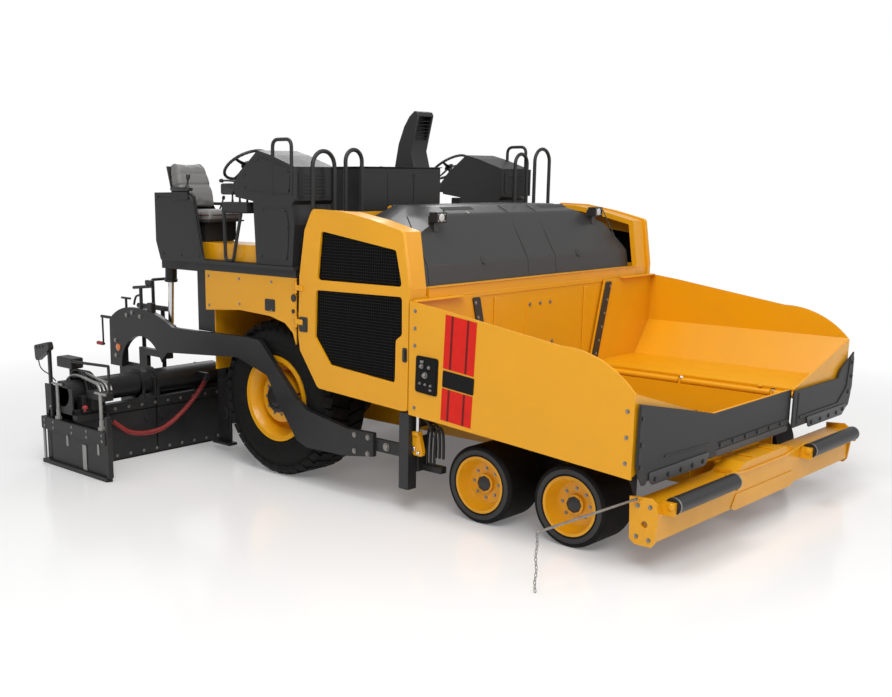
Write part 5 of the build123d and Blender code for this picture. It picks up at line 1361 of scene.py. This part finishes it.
# Tow points: the levelling cylinders ahead of the rails, their hoses, and the big bolts that
# hold the arms' ends.
hose_black = plain("black_paint", "hose_black", (0.01, 0.01, 0.01), (0.016, 0.016, 0.016), 60.0, 0.45,
                   shine=0.4)
for clevis in both("tow_clevis_{}", "tractor", yellow):
    fork = ((1.5, 0.6), (1.556, 0.6), (1.591, 0.47), (1.591, 0.43), (1.5, 0.43))
    clevis.plate(fork, "y", 1.51, 1.545, 0.003, 0.02, 5)
    clevis.bars(0.004, (1.5, 1.56, 1.5, 1.556, 0.575, 0.606))
for rod in both("tow_rod_{}", "tractor", chrome):
    rod.rods(0.016, 20, (1.532, 1.5275, 0.735, 1.532, 1.5275, 0.6))
    rod.rods(0.018, 20, (1.516, 1.546, 0.48, 1.516, 1.56, 0.48))
    rod.rods(0.013, 20, (1.56, 1.546, 0.455, 1.56, 1.56, 0.455))
for hoses in both("tow_hoses_{}", "tractor", hose_black):
    for x, top in ((1.54, 0.64), (1.575, 0.65), (1.61, 0.635)):
        hoses.pipe([
            (x, 1.43, 0.345), (x, 1.43, 0.5), (x + 0.012, 1.425, top), (x + 0.055, 1.41, top - 0.01),
            (x + 0.062, 1.4, 0.52), (x + 0.055, 1.395, 0.4),
        ], 0.01)
    hoses.pipe([(1.54, 1.52, 0.72), (1.58, 1.5, 0.7), (1.6, 1.47, 0.64), (1.6, 1.44, 0.56)], 0.009)
for holder in both("tow_hose_block_{}", "tractor", black):
    holder.bars(0.005, (1.5, 1.69, 1.385, 1.45, 0.3, 0.35))
    holder.bars(0.004, (1.5, 1.52, 1.385, 1.505, 0.3, 0.56))
bolted("arm_bolts_{}", "screed", steel, 1.35, [(x, 1.59, z) for x, z in (
    (0.963, 0.5), (1.101, 0.5), (0.963, 0.375), (1.101, 0.375), (-1.947, 1.15), (-1.86, 1.18),
    (-1.738, 1.155), (-2.14, 0.76), (-2.14, 0.9),
)])
bolted("tow_pin_bolt_{}", "screed", steel, 2.0, [(1.262, 1.56, 0.45)])


# Screed: posts and depth cranks, thickness screws with their T bars, reflectors on the arms,
# the hose bundles of the extensions, and the gates' slots and clamps.
amber = plain("cord_red", "amber_lens", (0.75, 0.16, 0.01), (0.85, 0.2, 0.02), 80.0, 0.25, coat=0.5)
braid = plain("bare_steel", "braid_steel", (0.26, 0.26, 0.25), (0.36, 0.36, 0.35), 400.0, 0.38, metal=0.5)
grip_red = plain("cord_red", "grip_red", (0.3, 0.012, 0.01), (0.36, 0.016, 0.013), 80.0, 0.4, coat=0.2)
for posts in both("screed_posts_{}", "screed", black):
    for x in (-2.1, -1.79):
        posts.rods(0.02, 16, (x, 1.3, 0.29, x, 1.3, 1.2))
        posts.turned((x, 1.3, 0.3), UP, ((0, 0.045), (0.012, 0.045), (0.014, 0.024), (0.04, 0.022)), 20)
    posts.rods(0.024, 16, (-2.17, 1.3, 1.2, -1.66, 1.3, 1.2))
    posts.rods(0.016, 16, (-1.93, 1.3, 1.2, -1.93, 1.3, 1.46), (-1.75, 1.562, 1.19, -1.75, 1.562, 1.415))
    posts.rods(0.014, 16, (-1.93, 1.3, 1.455, -1.93, 1.12, 1.455),
               (-1.862, 1.562, 1.405, -1.56, 1.562, 1.436))
    posts.bars(0.006, (-1.66, -1.566, 1.544, 1.582, 1.442, 1.486), (-1.64, -1.57, 1.53, 1.585, 1.185, 1.285))
    posts.pipe([
        (-1.75, 1.562, 1.345), (-1.8, 1.562, 1.34), (-1.842, 1.562, 1.318), (-1.863, 1.562, 1.25),
    ], 0.01)
    posts.rods(0.012, 12, (-1.99, 1.56, 1.15, -1.99, 1.56, 1.3))
    posts.rods(0.01, 12, (-2.06, 1.56, 1.3, -1.92, 1.56, 1.3))
for grips in both("crank_grips_{}", "screed", grip_red):
    handle = ((0, 0.014), (0.004, 0.018), (0.09, 0.018), (0.096, 0.014))
    grips.turned((-2.478, 1.5675, 0.84), FORWARD, handle, 18)
for reflector in both("arm_reflector_{}", "screed", amber):
    reflector.turned((-2.101, 1.59, 0.837), OUT, ((0, 0.034), (0.006, 0.034), (0.009, 0.028)), 24)
for plumbing in both("extension_plumbing_{}", "extension_{}", hose_black):
    plumbing.bars(0.008, (-1.775, -1.54, 2.32, 2.44, 0.795, 0.885))
    plumbing.rods(0.022, 16, (-1.6, 2.4, 0.698, -1.6, 2.4, 0.8))
    plumbing.rods(0.012, 12, (-1.545, 2.43, 0.862, -1, 2.43, 0.885), (-1, 2.43, 0.885, -1, 2.43, 0.66))
    plumbing.bars(0.006, (-1.24, -0.985, 2.4, 2.5, 0.6, 0.665))
    plumbing.bars(0.004, (-1.302, -1.2, 2.42, 2.47, 0.5, 0.61))
    for k, y in enumerate((2.345, 2.368, 2.391, 2.414, 2.437)):
        plumbing.pipe([
            (-1.56, y, 0.69), (-1.555, y, 0.74 + 0.01 * k), (-1.44, y - 0.01, 0.79 + 0.006 * k),
            (-1.32, y, 0.72), (-1.31, y, 0.605),
        ], 0.011)
for hoses in both("extension_hoses_{}", "extension_{}", braid):
    for y, rise in ((2.35, 0.745), (2.385, 0.765), (2.42, 0.74), (2.455, 0.755)):
        hoses.pipe([
            (-1.59, y, 0.705), (-1.53, y, rise), (-1.38, y + 0.012, rise + 0.014), (-1.22, y, rise - 0.02),
            (-1.12, y - 0.006, 0.72), (-1.09, y, 0.665),
        ], 0.0115)
for knobs in both("extension_knobs_{}", "extension_{}", grip_red):
    knob = ((0, 0.01), (0.02, 0.01), (0.024, 0.022), (0.04, 0.024), (0.05, 0.016))
    for x, z in ((-1.444, 0.46), (-1.191, 0.5)):
        knobs.turned((x, 2.545, z), UP, knob, 16)
GATE_Y = 2.6213
for slots in both("gate_slots_{}", "extension_{}", braid):
    for x in (-1.358, -0.9):
        slot = ((x - 0.014, 0.195), (x + 0.014, 0.195), (x + 0.014, 0.288), (x - 0.014, 0.288))
        slots.plate(slot, "y", GATE_Y, 2.6253, 0.001, 0.012, 5)
    slots.bars(0.003, (-1.128, -1.074, GATE_Y, 2.6303, 0.036, 0.25),
               (-1.714, -1.69, GATE_Y, 2.6403, 0.04, 0.296))
    slots.rods(0.01, 12, (-1.595, 2.61, 0.5, -1.595, 2.6303, 0.5))
for screws in both("gate_screws_{}", "extension_{}", braid):
    for x in (-1.5, -0.86):
        screws.rods(0.014, 16, (x, 2.608, 0.4, x, 2.608, 0.7))
        screws.rods(0.01, 12, (x - 0.075, 2.608, 0.7, x + 0.075, 2.608, 0.7))
        screws.turned((x, 2.608, 0.405), UP, ((0, 0.03), (0.024, 0.03), (0.028, 0.018), (0.08, 0.018)), 20)
bolted("gate_bolts_{}", "extension_{}", steel, 0.8,
       grid((-1.66, -1.52, -1.24, -1.02, -0.8), 2.6503, (0.33, 0.378)))
bolted("extension_bolts_{}", "extension_{}", steel, 0.9, forward=[
    (-1.2995, 1.08 + 0.138 * k, z) for k in range(11) for z in (0.045, 0.455)
])
pendant = Fabrication(-1)
box = ((-1.78, 1), (-1.56, 1.048), (-1.545, 1), (-1.552, 0.985), (-1.745, 0.872), (-1.77, 0.885))
pendant.plate(box, "y", 2.595, 2.642, 0.005, 0.012, 5)
for k in range(3):
    button = ((0, 0.012), (0.004, 0.012), (0.006, 0.007))
    pendant.turned((-1.745 + 0.05 * k, 2.642, 0.985 + 0.009 * k), OUT, button, 14)
pendant.pipe([
    (-1.762, 2.615, 0.88), (-1.758, 2.615, 0.825), (-1.715, 2.605, 0.785), (-1.64, 2.6, 0.768),
    (-1.6, 2.59, 0.745), (-1.596, 2.56, 0.705),
], 0.005)
pendant.done("pendant_right", "extension_right", plastic)


# Lift cylinders: glands and hoses on the barrels, and the pins that hold them to the masts.
# They lie along the line from the mast's eye to the arm's.
LIFT_EYE, ARM_EYE = Vector((-1.43, 1.44, 1.975)), Vector((-1.48, 1.44, 1.06))
LIFT_WAY = (ARM_EYE - LIFT_EYE).normalized()
LIFT_HOSE = ((0.1, 0.05), (0.14, 0.072), (0.3, 0.075), (0.44, 0.068), (0.47, 0.052))  # along, aside
for barrel in both("lift_gland_{}", "lift_barrel_{}", black):
    for far in (0.05, 0.47):
        gland = ((0, 0.052), (0.003, 0.058), (0.027, 0.058), (0.03, 0.052))
        barrel.turned(LIFT_EYE + LIFT_WAY * far, LIFT_WAY, gland, 28)
    barrel.pipe([LIFT_EYE + LIFT_WAY * far - Vector((out, 0, 0)) for far, out in LIFT_HOSE], 0.008)
for pin in both("lift_pins_{}", "tractor", steel):
    for y in (1.362, 1.51):
        pin.turned((LIFT_EYE.x, y, LIFT_EYE.z), OUT, ((0, 0.026), (0.008, 0.03), (0.016, 0.026)), 20)
